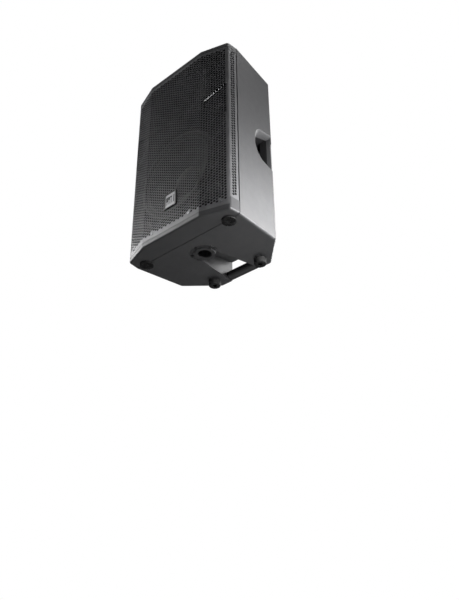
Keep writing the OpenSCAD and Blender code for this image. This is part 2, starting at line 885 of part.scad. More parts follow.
module horn() {
    front = baffle_y - 4;
    flange = rounded(box_points(-horn_w / 2, horn_z - horn_h / 2, horn_w / 2, horn_z + horn_h / 2), 8);
    color([0.07, 0.07, 0.07]) difference() {
        union() {
            facing(flange, front, baffle_y);
            horn_body(front + 1, throat_y, 2.6);
            rod(0, horn_z, 38, throat_y - 6, throat_y);
        }
        horn_body(front - 0.02, throat_y + 0.02, 0);
        driver_screw_places() rod(0, 0, 2.6, front - 1, baffle_y + 1);
    }
}

hf_r = 44;
hf_gap_r = 22;

module hf_pole_plate() {
    color([0.45, 0.45, 0.47]) turned(horn_z, [
        [throat_r, throat_y], [hf_r - 4, throat_y], [hf_r - 4, throat_y + 7], [hf_gap_r - 1, throat_y + 7],
        [hf_gap_r - 1, throat_y + 26], [throat_r + 4, throat_y + 26]
    ]);
}

module hf_magnet() {
    color([0.25, 0.25, 0.27]) turned(horn_z, [
        [hf_gap_r + 4, throat_y + 7], [hf_r, throat_y + 7], [hf_r, throat_y + 21],
        [hf_gap_r + 1.2, throat_y + 21], [hf_gap_r + 1.2, throat_y + 17], [hf_gap_r + 4, throat_y + 17]
    ]);
}

module hf_phase_plug() {
    color([0.1, 0.1, 0.1]) turned(horn_z, [
        [0, throat_y - 8], [throat_r - 3, throat_y + 6], [throat_r + 2, throat_y + 24], [0, throat_y + 24]
    ]);
}

module hf_diaphragm() {
    dome_r = 26;
    base_y = throat_y + 28;
    drop = sqrt(dome_r * dome_r - hf_gap_r * hf_gap_r);
    open = acos(drop / dome_r);
    color([0.7, 0.7, 0.72]) turned(horn_z, concat(
        [[hf_gap_r, throat_y + 20], [hf_gap_r + 0.4, throat_y + 20], [hf_gap_r + 0.4, base_y - 0.6],
        [hf_gap_r + 5, base_y - 0.6], [hf_gap_r + 5, base_y]],
        arc(0, base_y - drop, dome_r, 90 - open, 90, 8),
        arc(0, base_y - drop, dome_r - 0.3, 90, 90 - open, 8)
    ));
}

module hf_back_cover() {
    y0 = throat_y + 21;
    color([0.06, 0.06, 0.06]) turned(horn_z, [
        [hf_r - 6, y0], [hf_r, y0], [hf_r, y0 + 20], [hf_r - 6, y0 + 26], [0, y0 + 26], [0, y0 + 23],
        [hf_r - 8, y0 + 23], [hf_r - 6, y0 + 19]
    ]);
}

// --- Amplifier panel at the rear ---

gasket_t = 1;
plate_t = 3;
plate_y0 = panel_y + gasket_t;
plate_y1 = plate_y0 + plate_t;
inlet = [-40, 192];
rocker = [18, 192];
jack_row_z = 255;
jack_xs = [48, 12];
link_x = -26;
aux_x = -56;
knob_row_z = 305;
button_x = -26;
display_z = 348;
display_x = 26;
encoder_x = -34;
jack_r = 12;
latch_x = 15.5;

module amp_screw_places() {
    for (x = [-75, 75], z = [panel_z0 + 6 : 97 : panel_z1]) translate([x, 0, z]) children();
}

module amp_plate() {
    color([0.1, 0.1, 0.105]) difference() {
        panel_outline(0.6, plate_y0, plate_y1);
        for (x = jack_xs) {
            rod(x, jack_row_z, jack_r, 0, rear_y);
            block(x + latch_x - 2.2, 0, jack_row_z - 4.2, x + latch_x + 2.2, rear_y, jack_row_z + 4.2);
            rod(x, knob_row_z, 4, 0, rear_y);
        }
        rod(link_x, jack_row_z, jack_r, 0, rear_y);
        rod(aux_x, jack_row_z, 4, 0, rear_y);
        rod(button_x, knob_row_z, 3.4, 0, rear_y);
        rod(encoder_x, display_z, 4, 0, rear_y);
        block(display_x - 28, 0, display_z - 11, display_x + 28, rear_y, display_z + 11);
        block(inlet[0] - 24, 0, inlet[1] - 14, inlet[0] + 24, rear_y, inlet[1] + 14);
        block(rocker[0] - 9.5, 0, rocker[1] - 13, rocker[0] + 9.5, rear_y, rocker[1] + 13);
        amp_screw_places() rod(0, 0, 2.4, 0, rear_y);
    }
}

module amp_gasket() {
    color("black") difference() {
        panel_outline(0.6, panel_y, plate_y0);
        panel_outline(panel_ledge, 0, rear_y);
        amp_screw_places() rod(0, 0, 2.4, 0, rear_y);
    }
}

module amp_screws() {
    color("silver") amp_screw_places() screw(0, 0, plate_y1, -1, 4, 2.4, 2, 8);
}

module heat_sink() {
    base = plate_y1 + 5;
    tip = rear_y - 4;
    fins = 15;
    pitch = 9;
    color([0.12, 0.12, 0.125]) {
        block(-66, plate_y1, 376, 66, base, 546);
        for (i = [0 : fins - 1])
            block((i - (fins - 1) / 2) * pitch - 1.2, base - 0.5, 376, (i - (fins - 1) / 2) * pitch + 1.2,
                tip, 546);
    }
}

module amp_cover() {
    t = 1.2;
    color([0.6, 0.6, 0.62]) difference() {
        block(-67, 92, 170, 67, plate_y0, 542);
        block(-67 + t, 92 + t, 170 + t, 67 - t, rear_y, 542 - t);
        rod(0, 480, 6, 80, 100);
    }
}

board_y = 126;
module amp_board() {
    color([0.05, 0.3, 0.15]) {
        block(-62, board_y, 358, 62, board_y + 1.6, 535);
        for (x = [-56, 56], z = [374, 529]) rod(x, z, 3, board_y + 1.5, plate_y0);
    }
}

module transformer() {
    color([0.8, 0.65, 0.2]) {
        block(-50, 97, 470, -10, board_y, 510);
        block(-54, 101, 476, -6, board_y - 4, 504);
    }
}

module capacitors() {
    color([0.1, 0.1, 0.35]) for (x = [12, 38], z = [410, 440, 470, 500]) rod(x, z, 11, 96, board_y);
}

module input_board() {
    color([0.05, 0.2, 0.35]) difference() {
        block(-62, 112, 232, 62, 113.6, 332);
        rod(0, 282, 3, 100, 120);
    }
}

// Sockets for a plug, each with a flange outside the plate and a body that meets the input board
module input_jacks() {
    color([0.08, 0.08, 0.08]) for (x = jack_xs) difference() {
        union() {
            rod(x, jack_row_z, jack_r - fit, 113.6, plate_y1 + 0.5);
            block(x - 13.5, plate_y1, jack_row_z - 15, x + latch_x + 5, plate_y1 + 2, jack_row_z + 15);
            block(x + latch_x - 2.2 + fit, 116, jack_row_z - 4, x + latch_x + 2, plate_y1 + 1, jack_row_z + 4);
        }
        rod(x, jack_row_z, 9.5, 120, rear_y);
        block(x + latch_x - 1.2, 122, jack_row_z - 3.1, x + latch_x + 1.2, rear_y, jack_row_z + 3.1);
    }
    color([0.08, 0.08, 0.08]) difference() {
        rod(aux_x, jack_row_z, 3.8, 113.6, plate_y1 + 3);
        rod(aux_x, jack_row_z, 1.8, 120, rear_y);
    }
}

module jack_latch(x) {
    color([0.75, 0.75, 0.77]) {
        block(x + latch_x - 1.1, 126, jack_row_z - 3, x + latch_x + 1.1, plate_y1 + 5, jack_row_z + 3);
    }
}

module jack_latch_1() { jack_latch(jack_xs[0]); }
module jack_latch_2() { jack_latch(jack_xs[1]); }

module link_output() {
    color([0.7, 0.7, 0.72]) {
        difference() {
            union() {
                rod(link_x, jack_row_z, jack_r - fit, 113.6, plate_y1 + 0.5);
                block(link_x - 13, plate_y1, jack_row_z - 15, link_x + 13, plate_y1 + 2, jack_row_z + 15);
            }
            rod(link_x, jack_row_z, 9, 124, rear_y);
        }
        for (a = [90, 210, 330])
            rod(link_x + 4.6 * cos(a), jack_row_z + 4.6 * sin(a), 1.2, 120, 143);
    }
}

module power_inlet() {
    color([0.06, 0.06, 0.06]) difference() {
        union() {
            block(inlet[0] - 23.8, 118, inlet[1] - 13.8, inlet[0] + 23.8, plate_y1 + 1, inlet[1] + 13.8);
            block(inlet[0] - 28, plate_y1, inlet[1] - 17, inlet[0] + 28, plate_y1 + 2, inlet[1] + 17);
        }
        facing([[inlet[0] - 12, inlet[1] - 8], [inlet[0] + 12, inlet[1] - 8], [inlet[0] + 12, inlet[1] + 3],
            [inlet[0] + 7, inlet[1] + 8], [inlet[0] - 7, inlet[1] + 8], [inlet[0] - 12, inlet[1] + 3]],
            124, rear_y);
    }
    color("silver") for (x = [-7, 0, 7])
        block(inlet[0] + x - 1, 123, inlet[1] - 2 - (x == 0 ? 2 : 0), inlet[0] + x + 1, 146,
            inlet[1] + 2 - (x == 0 ? 2 : 0));
}

module rocker_frame() {
    color([0.06, 0.06, 0.06]) difference() {
        union() {
            block(rocker[0] - 9.3, 130, rocker[1] - 12.8, rocker[0] + 9.3, plate_y1 + 1, rocker[1] + 12.8);
            block(rocker[0] - 12, plate_y1, rocker[1] - 15.5, rocker[0] + 12, plate_y1 + 2, rocker[1] + 15.5);
        }
        block(rocker[0] - 6.8, 134, rocker[1] - 11, rocker[0] + 6.8, rear_y, rocker[1] + 11);
        translate([rocker[0] - 8.5, plate_y1 - 4, rocker[1]]) rotate([0, 90, 0]) cylinder(r = 1.5 + run, h = 17);
    }
}

module power_rocker() {
    y = plate_y1 - 4;
    color([0.5, 0.05, 0.04]) {
        across([[y - 4, rocker[1] - 5], [y + 5, rocker[1] - 9], [y + 4, rocker[1]], [y + 5, rocker[1] + 9],
            [y - 4, rocker[1] + 5]], rocker[0] - 6.5, rocker[0] + 6.5);
        translate([rocker[0] - 8.3, y, rocker[1]]) rotate([0, 90, 0]) cylinder(r = 1.5, h = 16.6);
    }
}

// Potentiometers and the encoder, fixed on the input board, with bored bushes
module gain_controls() {
    color([0.6, 0.6, 0.62]) {
        for (p = [[jack_xs[0], knob_row_z], [jack_xs[1], knob_row_z], [encoder_x, display_z]]) difference() {
            union() {
                rod(p[0], p[1], 3.8, 130, plate_y1 + 2);
                block(p[0] - 6, 120, p[1] - 6, p[0] + 6, 134, p[1] + 6);
            }
            rod(p[0], p[1], 3 + run, 122, rear_y);
        }
        // Housing of the push button
        difference() {
            block(button_x - 5, 122, knob_row_z - 5, button_x + 5, plate_y0 - 1, knob_row_z + 5);
            rod(button_x, knob_row_z, 3 + run, 126, rear_y);
        }
    }
}

module knob(x, z, tip) {
    top = tip - 1;
    color([0.14, 0.14, 0.14]) difference() {
        union() {
            rod(x, z, 3, tip - 30, top - 6);
            translate([x, plate_y1 + 3, z]) rotate([-90, 0, 0]) rotate_extrude()
                polygon([[0, 0], [knob_r, 0], [knob_r - 1.5, top - plate_y1 - 4], [knob_r - 2.5, top - plate_y1 - 3],
                    [0, top - plate_y1 - 3]]);
        }
        for (a = [20 : 20 : 340]) translate([x, 0, z]) rotate([0, a, 0])
            rod(0, knob_r + 0.3, 0.9, plate_y1 + 2, tip + 2);
        block(x - 0.6, top - 0.6, z + 1, x + 0.6, top + 1, z + knob_r);
    }
}

knob_tip = plate_y1 + 17;
module gain_knob_1() { knob(jack_xs[0], knob_row_z, knob_tip); }
module gain_knob_2() { knob(jack_xs[1], knob_row_z, knob_tip); }
module encoder_knob() { knob(encoder_x, display_z, knob_tip); }

module encoder_plunger() {
    color("white") rod(encoder_x, display_z, 2.4, 123, knob_tip - 30.1);
}

module display_bezel() {
    color([0.06, 0.06, 0.06]) difference() {
        union() {
            block(display_x - 31, plate_y1, display_z - 14, display_x + 31, plate_y1 + 2.2, display_z + 14);
            block(display_x - 27.8, 138, display_z - 10.8, display_x + 27.8, plate_y1 + 0.5, display_z + 10.8);
        }
        block(display_x - 25, plate_y1 - 1, display_z - 9, display_x + 25, rear_y, display_z + 9);
    }
}

module display_window() {
    color([0.1, 0.2, 0.3]) block(display_x - 24.8, plate_y1 - 1, display_z - 8.8, display_x + 24.8,
        plate_y1 + 1.4, display_z + 8.8);
}

module input_button() {
    color([0.7, 0.7, 0.7]) rod(button_x, knob_row_z, 3, 129, plate_y1 + 5);
}

// --- Wiring ---

module wire(points, r) {
    for (i = [0 : len(points) - 2]) hull() {
        translate(points[i]) sphere(r = r, $fn = 10);
        translate(points[i + 1]) sphere(r = r, $fn = 10);
    }
}

module speaker_cables() {
    color([0.6, 0.08, 0.06]) {
        wire([[0, 91, 478], [20, 78, 470], [42, 66, 430], [60, 50, 380], [100, 20, 330],
            [104, -20, 300], [92, -52, 286]], 2.6);
        wire([[4, 90, 484], [14, 70, 500], [24, 40, 508], [30, 20, 508]], 2);
    }
}

socket_mouth = 3;    // height of the chamfer at the pole socket's mouth

module framed() {
    translate([0, 0, -(socket_mouth + pole_depth) / 2]) children();
}

framed() front_shell();
framed() rear_shell();
framed() shell_gasket();
framed() shell_screws();
framed() grille();
framed() grille_screws();
framed() badge_frame();
framed() badge_plate();
framed() front_feet();
framed() rear_feet();
framed() base_screws();
framed() pole_cup();
framed() rear_grip();
framed() left_handle_cup();
framed() right_handle_cup();
framed() rigging_inserts();
framed() port_tubes();
framed() damping_wadding();
framed() woofer_basket();
framed() woofer_gasket();
framed() woofer_surround();
framed() woofer_cone();
framed() woofer_dust_cap();
framed() woofer_spider();
framed() woofer_voice_coil();
framed() woofer_top_plate();
framed() woofer_magnet();
framed() woofer_yoke();
framed() driver_screws();
framed() horn();
framed() hf_pole_plate();
framed() hf_phase_plug();
framed() hf_diaphragm();
framed() hf_magnet();
framed() hf_back_cover();
framed() amp_plate();
framed() amp_gasket();
framed() amp_screws();
framed() heat_sink();
framed() amp_cover();
framed() amp_board();
framed() transformer();
framed() capacitors();
framed() input_board();
framed() input_jacks();
framed() jack_latch_1();
framed() jack_latch_2();
framed() link_output();
framed() power_inlet();
framed() rocker_frame();
framed() power_rocker();
framed() gain_controls();
framed() gain_knob_1();
framed() gain_knob_2();
framed() encoder_plunger();
framed() encoder_knob();
framed() display_bezel();
framed() display_window();
framed() input_button();
framed() speaker_cables();
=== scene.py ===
# Looks of a powered loudspeaker cabinet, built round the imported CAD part.
# Metres. +X is right as the front is seen, +Y runs from front to rear, +Z is up.
import json
import math

import bmesh
import bpy
import numpy as np
from mathutils import Matrix, Vector, noise


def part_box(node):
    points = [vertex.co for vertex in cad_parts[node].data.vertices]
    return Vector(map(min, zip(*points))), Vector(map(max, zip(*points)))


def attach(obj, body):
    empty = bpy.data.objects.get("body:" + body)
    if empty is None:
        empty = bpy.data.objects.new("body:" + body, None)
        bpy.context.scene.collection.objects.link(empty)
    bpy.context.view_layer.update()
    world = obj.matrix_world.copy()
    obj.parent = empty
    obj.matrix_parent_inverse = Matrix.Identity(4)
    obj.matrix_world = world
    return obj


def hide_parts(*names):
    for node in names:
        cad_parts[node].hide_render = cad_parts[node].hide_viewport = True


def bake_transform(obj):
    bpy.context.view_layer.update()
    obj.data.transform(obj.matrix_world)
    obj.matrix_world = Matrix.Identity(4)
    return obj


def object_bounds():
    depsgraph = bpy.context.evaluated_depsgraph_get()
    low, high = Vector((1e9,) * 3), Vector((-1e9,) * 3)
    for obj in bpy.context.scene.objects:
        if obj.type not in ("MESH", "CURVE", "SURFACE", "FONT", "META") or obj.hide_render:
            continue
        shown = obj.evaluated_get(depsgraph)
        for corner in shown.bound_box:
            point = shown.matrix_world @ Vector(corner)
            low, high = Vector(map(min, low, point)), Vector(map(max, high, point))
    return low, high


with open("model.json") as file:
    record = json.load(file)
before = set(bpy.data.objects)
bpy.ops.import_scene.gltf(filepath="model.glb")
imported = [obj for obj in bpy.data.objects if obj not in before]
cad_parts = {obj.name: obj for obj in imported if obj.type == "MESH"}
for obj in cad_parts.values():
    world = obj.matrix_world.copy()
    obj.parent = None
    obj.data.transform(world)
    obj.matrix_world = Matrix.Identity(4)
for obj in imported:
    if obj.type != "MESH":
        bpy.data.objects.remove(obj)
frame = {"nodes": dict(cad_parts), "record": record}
cad_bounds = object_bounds()
MM = 0.001
SLOT_OF = {part["node"]: part["material_slot"] for part in frame["record"]["subparts"]}
CABINET = "cabinet"
CONE = "woofer_moving"
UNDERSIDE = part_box("front_shell")[0].z      # heights below are measured from here


def middle(node):
    low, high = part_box(node)
    return (low + high) / 2


def loose_parts(node):
    """(lowest, highest) corners of each separate solid in a CAD node."""
    builder = bmesh.new()
    builder.from_mesh(frame["nodes"][node].data)
    bmesh.ops.remove_doubles(builder, verts=builder.verts, dist=0.01 * MM)
    left = set(builder.verts)
    boxes = []
    while left:
        stack, group = [left.pop()], []
        while stack:
            vertex = stack.pop()
            group.append(vertex.co.copy())
            for edge in vertex.link_edges:
                other = edge.other_vert(vertex)
                if other in left:
                    left.remove(other)
                    stack.append(other)
        boxes.append((Vector([min(p[i] for p in group) for i in range(3)]),
                      Vector([max(p[i] for p in group) for i in range(3)])))
    builder.free()
    return sorted(boxes, key=lambda b: tuple(b[0]))


# --- Materials ---
# Each finish: base colour, roughness, metal share, grain size and depth in mm, mottling of the colour,
# dust on the upward faces, specular level, and the kind of surface where it isn't plain.
FINISHES = {
    "cabinet_plastic": dict(color=(0.036, 0.036, 0.038), rough=0.46, grain=(0.9, 0.05), mottle=0.05,
                            dust=0.08, specular=0.62),
    # The front shell's finish also paints shade, near black, on its faces behind the grille.
    "front_shell_plastic_painted_shade": dict(color=(0.034, 0.034, 0.036), rough=0.46, grain=(0.9, 0.05), mottle=0.05,
                                dust=0.08, specular=0.62, baffle_shade=True),
    "soft_black_plastic": dict(color=(0.018, 0.018, 0.019), rough=0.5, grain=(0.7, 0.04)),
    "grille_steel": dict(color=(0.12, 0.12, 0.124), rough=0.38, metal=0.3, grain=(0.35, 0.02)),
    "badge_black": dict(color=(0.008, 0.008, 0.008), rough=0.3, grain=(0.5, 0.01)),
    "screw_steel": dict(color=(0.3, 0.3, 0.31), rough=0.4, metal=1.0, grain=(0.3, 0.01), brushed=True),
    "black_screw": dict(color=(0.03, 0.03, 0.03), rough=0.35, metal=0.7, grain=(0.3, 0.01)),
    "rubber": dict(color=(0.012, 0.012, 0.012), rough=0.72, grain=(0.8, 0.05), dust=0.3, specular=0.3),
    "gasket_foam": dict(color=(0.008, 0.008, 0.008), rough=0.95, grain=(1.2, 0.3), specular=0.1),
    "brass": dict(color=(0.72, 0.5, 0.2), rough=0.28, metal=1.0, grain=(0.3, 0.01), brushed=True),
    "wadding": dict(color=(0.62, 0.6, 0.55), rough=0.98, grain=(3.0, 0.9), mottle=0.3, fibres=True),
    "cast_basket": dict(color=(0.025, 0.025, 0.026), rough=0.6, metal=0.2, grain=(0.9, 0.08), specular=0.1),
    "cone_paper": dict(color=(0.012, 0.012, 0.013), rough=0.9, specular=0.1, grain=(1.1, 0.08), fibres=True),
    "surround_cloth": dict(color=(0.01, 0.01, 0.01), rough=0.85, weave=0.9, specular=0.1),
    "spider_cloth": dict(color=(0.55, 0.4, 0.16), rough=0.85, weave=0.9),
    "copper": dict(color=(0.75, 0.35, 0.17), rough=0.3, metal=1.0, grain=(0.3, 0.02), brushed=True),
    "plated_iron": dict(color=(0.5, 0.5, 0.52), rough=0.32, metal=1.0, grain=(0.6, 0.02), brushed=True),
    "ferrite": dict(color=(0.06, 0.06, 0.065), rough=0.6, metal=0.2, grain=(0.8, 0.05)),
    "horn_plastic": dict(color=(0.008, 0.008, 0.009), rough=0.5, specular=0.15, grain=(0.8, 0.03)),
    "titanium": dict(color=(0.55, 0.54, 0.53), rough=0.35, metal=1.0, grain=(0.5, 0.01)),
    "panel_black": dict(color=(0.022, 0.022, 0.024), rough=0.36, metal=0.2, grain=(0.5, 0.03)),
    "heat_sink_black": dict(color=(0.02, 0.02, 0.021), rough=0.4, metal=0.4, grain=(0.5, 0.02)),
    "sheet_steel": dict(color=(0.52, 0.52, 0.53), rough=0.36, metal=1.0, grain=(2.4, 0.01), mottle=0.25),
    "board_green": dict(color=(0.02, 0.11, 0.05), rough=0.35, board=True),
    "board_blue": dict(color=(0.015, 0.06, 0.14), rough=0.35, board=True),
    "transformer_yellow": dict(color=(0.65, 0.46, 0.1), rough=0.45, grain=(1.0, 0.03), brushed=True),
    "capacitor_sleeve": dict(color=(0.02, 0.02, 0.09), rough=0.3, grain=(0.8, 0.01)),
    "connector_black": dict(color=(0.014, 0.014, 0.015), rough=0.33, grain=(0.5, 0.02)),
    "connector_metal": dict(color=(0.6, 0.6, 0.61), rough=0.27, metal=1.0, grain=(0.4, 0.01)),
    "rocker_red": dict(color=(0.42, 0.02, 0.015), rough=0.28, grain=(0.5, 0.01)),
    "knob_plastic": dict(color=(0.03, 0.03, 0.031), rough=0.42, grain=(0.4, 0.03)),
    "button_grey": dict(color=(0.4, 0.4, 0.4), rough=0.4, grain=(0.4, 0.02)),
    "cable_red": dict(color=(0.4, 0.02, 0.015), rough=0.4, grain=(0.6, 0.02)),
    "panel_ink": dict(color=(0.62, 0.62, 0.6), rough=0.55, grain=(0.3, 0.01)),
}
DUST_COLOR = (0.16, 0.155, 0.145)
# Painted shade on the front shell behind the grille and in the grooves beside its flanges: near-black colour
# and a low specular level.
BAFFLE_PAINTED_SHADE = (0.004, 0.004, 0.004)
BAFFLE_SHADE_SPECULAR = 0.05


class Tree:
    """A material's node tree, with short calls to add nodes and join them."""

    def __init__(self, name):
        self.material = bpy.data.materials.new(name)
        self.material.use_nodes = True
        self.nodes = self.material.node_tree.nodes
        self.links = self.material.node_tree.links
        self.nodes.clear()
        self.output = self.nodes.new("ShaderNodeOutputMaterial")
        self.shader = self.nodes.new("ShaderNodeBsdfPrincipled")
        self.links.new(self.shader.outputs[0], self.output.inputs["Surface"])
        self.place = self.nodes.new("ShaderNodeTexCoord").outputs["Object"]

    def put(self, value, socket):
        if hasattr(value, "is_linked"):
            self.links.new(value, socket)
        else:
            socket.default_value = value

    def noise(self, size_mm, detail=3.0, stretch=None):
        place = self.place
        if stretch:
            mapping = self.nodes.new("ShaderNodeMapping")
            mapping.inputs["Scale"].default_value = stretch
            self.links.new(place, mapping.inputs["Vector"])
            place = mapping.outputs[0]
        node = self.nodes.new("ShaderNodeTexNoise")
        node.inputs["Scale"].default_value = 1.0 / (size_mm * MM)
        node.inputs["Detail"].default_value = detail
        self.links.new(place, node.inputs["Vector"])
        return node.outputs["Fac"]

    def math(self, operation, a, b=0.0, c=0.0):
        node = self.nodes.new("ShaderNodeMath")
        node.operation = operation
        for value, socket in zip((a, b, c), node.inputs):
            self.put(value, socket)
        return node.outputs[0]

    def ramp(self, value, low, high, out_low, out_high):
        node = self.nodes.new("ShaderNodeMapRange")
        node.interpolation_type = "SMOOTHSTEP"
        for item, socket in zip((value, low, high, out_low, out_high), node.inputs):
            self.put(item, socket)
        return node.outputs[0]

    def mix(self, share, a, b):
        node = self.nodes.new("ShaderNodeMix")
        node.data_type = "RGBA"
        self.put(share, node.inputs[0])
        for value, socket in ((a, node.inputs[6]), (b, node.inputs[7])):
            self.put(value if hasattr(value, "is_linked") else (*value, 1.0), socket)
        return node.outputs[2]

    def bump(self, height, depth_mm, strength=1.0):
        node = self.nodes.new("ShaderNodeBump")
        node.inputs["Strength"].default_value = strength
        node.inputs["Distance"].default_value = depth_mm * MM
        self.links.new(height, node.inputs["Height"])
        self.links.new(node.outputs[0], self.shader.inputs["Normal"])

    def axis(self, index):
        node = self.nodes.new("ShaderNodeSeparateXYZ")
        self.links.new(self.place, node.inputs[0])
        return node.outputs[index]


def shade(color, factor):
    return tuple(min(1.0, c * factor) for c in color)


def weave_height(tree, pitch_mm):
    """Threads of a plain weave: two crossed sets of waves."""
    across_threads = [tree.math("SINE", tree.math("MULTIPLY", tree.axis(i), 2 * math.pi / (pitch_mm * MM)))
                      for i in (0, 2)]
    return tree.math("MULTIPLY", across_threads[0], across_threads[1])


def shade_behind_grille(tree):
    """1 on the front shell's faces that the grille covers, and in the recesses for its flanges, where painted
    shade makes them near black.
    """
    low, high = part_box("front_shell")

    def in_shade(from_side, from_bottom, from_top):
        """1 where a place is more than these distances from the shell's sides, bottom and top."""
        across = tree.math("LESS_THAN", tree.math("ABSOLUTE", tree.axis(0)), high.x - from_side)
        above = tree.math("GREATER_THAN", tree.axis(2), low.z + from_bottom)
        below = tree.math("LESS_THAN", tree.axis(2), high.z - from_top)
        return tree.math("MULTIPLY", across, tree.math("MULTIPLY", above, below))

    baffle_shade = in_shade(14 * MM, 20 * MM, 20 * MM)
    flange_recess = in_shade(3.8 * MM, 41 * MM, 39 * MM)
    return tree.math("MAXIMUM", baffle_shade, flange_recess)


def finish_material(name, color, rough, metal=0.0, grain=(0.8, 0.03), mottle=0.12, dust=0.0,
                    specular=0.5, brushed=False, fibres=False, weave=0.0, board=False, baffle_shade=False):
    tree = Tree(name)
    patches = tree.noise(38.0, 4.0)
    grit = tree.noise(grain[0], 2.0)
    share = tree.ramp(patches, 0.3, 0.7, 0.0, 1.0)
    base = tree.mix(share, shade(color, 1 - mottle), shade(color, 1 + mottle))
    base = tree.mix(tree.ramp(grit, 0.35, 0.75, 0.0, 0.35), base, shade(color, 1.5))
    height = grit
    if brushed:
        height = tree.noise(grain[0], 2.0, (1.0, 9.0, 1.0))
    if fibres:
        height = tree.noise(grain[0], 5.0, (1.0, 3.0, 0.35))
    if weave:
        height = weave_height(tree, weave)
        grain = (weave, 0.12)
        # Colour follows the thread height: painted shade in the dips between threads and painted highlight on
        # their tops.
        base = tree.mix(tree.ramp(height, -0.6, 0.8, 0.0, 1.0), shade(color, 0.55), shade(color, 1.35))
    if board:
        tracks = tree.nodes.new("ShaderNodeTexBrick")
        tracks.inputs["Scale"].default_value = 90.0
        tracks.inputs["Mortar Size"].default_value = 0.018
        tree.links.new(tree.place, tracks.inputs["Vector"])
        base = tree.mix(tracks.outputs["Fac"], base, shade(color, 2.4))
    if dust:
        up = tree.nodes.new("ShaderNodeSeparateXYZ")
        tree.links.new(tree.nodes.new("ShaderNodeNewGeometry").outputs["Normal"], up.inputs[0])
        lying = tree.math("MULTIPLY", tree.ramp(up.outputs[2], 0.55, 1.0, 0.0, dust), tree.ramp(
            tree.noise(14.0, 6.0), 0.4, 0.75, 0.15, 1.0))
        base = tree.mix(lying, base, DUST_COLOR)
    # Painted shade: near black with little specular on the faces behind the grille and in the flange
    # recesses, where light hardly reaches.
    if baffle_shade:
        in_shade = shade_behind_grille(tree)
        base = tree.mix(in_shade, base, BAFFLE_PAINTED_SHADE)
        specular = tree.ramp(in_shade, 0.0, 1.0, specular, BAFFLE_SHADE_SPECULAR)
    tree.put(base, tree.shader.inputs["Base Color"])
    tree.put(tree.ramp(tree.noise(22.0, 5.0), 0.3, 0.7, rough * 0.95, min(1.0, rough * 1.05)),
             tree.shader.inputs["Roughness"])
    tree.shader.inputs["Metallic"].default_value = metal
    tree.put(specular, tree.shader.inputs["Specular IOR Level"])
    if fibres or weave:
        tree.shader.inputs["Sheen Weight"].default_value = 0.3
    tree.bump(height, grain[1])
    return tree.material


def badge_plate_material(name):
    """Brushed silver with a darker panel in its middle, behind the raised silver bars."""
    low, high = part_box("badge_plate")
    tree = Tree(name)
    height = tree.noise(0.5, 2.0, (0.08, 1.0, 1.0))
    from_middle = tree.math("ABSOLUTE", tree.math("SUBTRACT", tree.axis(2), (low.z + high.z) / 2))
    share = tree.math("DIVIDE", from_middle, (high.z - low.z) / 2)
    in_front = tree.ramp(tree.axis(1), low.y + 0.3 * MM, low.y + 0.5 * MM, 0.0, 1.0)
    sideways = tree.math("DIVIDE", tree.math("ABSOLUTE", tree.axis(0)), (high.x - low.x) / 2)
    panel = tree.math("MULTIPLY", tree.ramp(share, 0.55, 0.6, 1.0, 0.0),
                      tree.ramp(sideways, 0.84, 0.9, 1.0, 0.0))
    dark = tree.math("MULTIPLY", panel, in_front)
    silver = tree.mix(tree.ramp(height, 0.3, 0.7, 0.0, 1.0), (0.2, 0.2, 0.205), (0.3, 0.3, 0.305))
    tree.put(tree.mix(dark, silver, (0.035, 0.035, 0.037)), tree.shader.inputs["Base Color"])
    tree.put(tree.ramp(height, 0.3, 0.7, 0.34, 0.46), tree.shader.inputs["Roughness"])
    tree.shader.inputs["Metallic"].default_value = 0.85
    tree.bump(height, 0.02)
    return tree.material


def display_material(name):
    """Dark glass over a lit screen of plain level bars."""
    low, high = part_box("display_window")
    tree = Tree(name)
    across = tree.math("DIVIDE", tree.math("SUBTRACT", tree.axis(0), low.x), high.x - low.x)
    up = tree.math("DIVIDE", tree.math("SUBTRACT", tree.axis(2), low.z), high.z - low.z)
    bars = 12
    column = tree.math("MULTIPLY", across, bars)
    gap = tree.math("GREATER_THAN", tree.math("FRACT", column), 0.3)
    level = tree.math("DIVIDE", tree.math("FLOOR", column), bars * 1.15)
    below = tree.math("LESS_THAN", up, tree.math("SUBTRACT", 0.82, tree.math("MULTIPLY", level, 0.6)))
    lit = tree.math("MULTIPLY", tree.math("MULTIPLY", gap, below), tree.math("GREATER_THAN", up, 0.2))
    inside = tree.math("LESS_THAN", tree.math("ABSOLUTE", tree.math("SUBTRACT", across, 0.5)), 0.44)
    lit = tree.math("MULTIPLY", lit, inside)
    smear = tree.noise(9.0, 4.0)
    tree.put(tree.mix(lit, (0.004, 0.006, 0.01), (0.2, 0.5, 0.75)), tree.shader.inputs["Base Color"])
    tree.put(tree.mix(lit, (0.0, 0.0, 0.0), (0.12, 0.45, 0.8)), tree.shader.inputs["Emission Color"])
    tree.shader.inputs["Emission Strength"].default_value = 0.9
    tree.put(tree.ramp(smear, 0.3, 0.7, 0.04, 0.12), tree.shader.inputs["Roughness"])
    tree.bump(smear, 0.004)
    return tree.material


MATERIALS = {}


def material_for(slot):
    if slot not in MATERIALS:
        if slot == "badge_silver":
            MATERIALS[slot] = badge_plate_material(slot)
        elif slot == "display_glass":
            MATERIALS[slot] = display_material(slot)
        else:
            MATERIALS[slot] = finish_material(slot, **FINISHES[slot])
    return MATERIALS[slot]


# --- Mesh helpers ---

def smooth(mesh, angle_deg=35.0):
    mesh.polygons.foreach_set("use_smooth", [True] * len(mesh.polygons))
    mesh.set_sharp_from_angle(angle=math.radians(angle_deg))


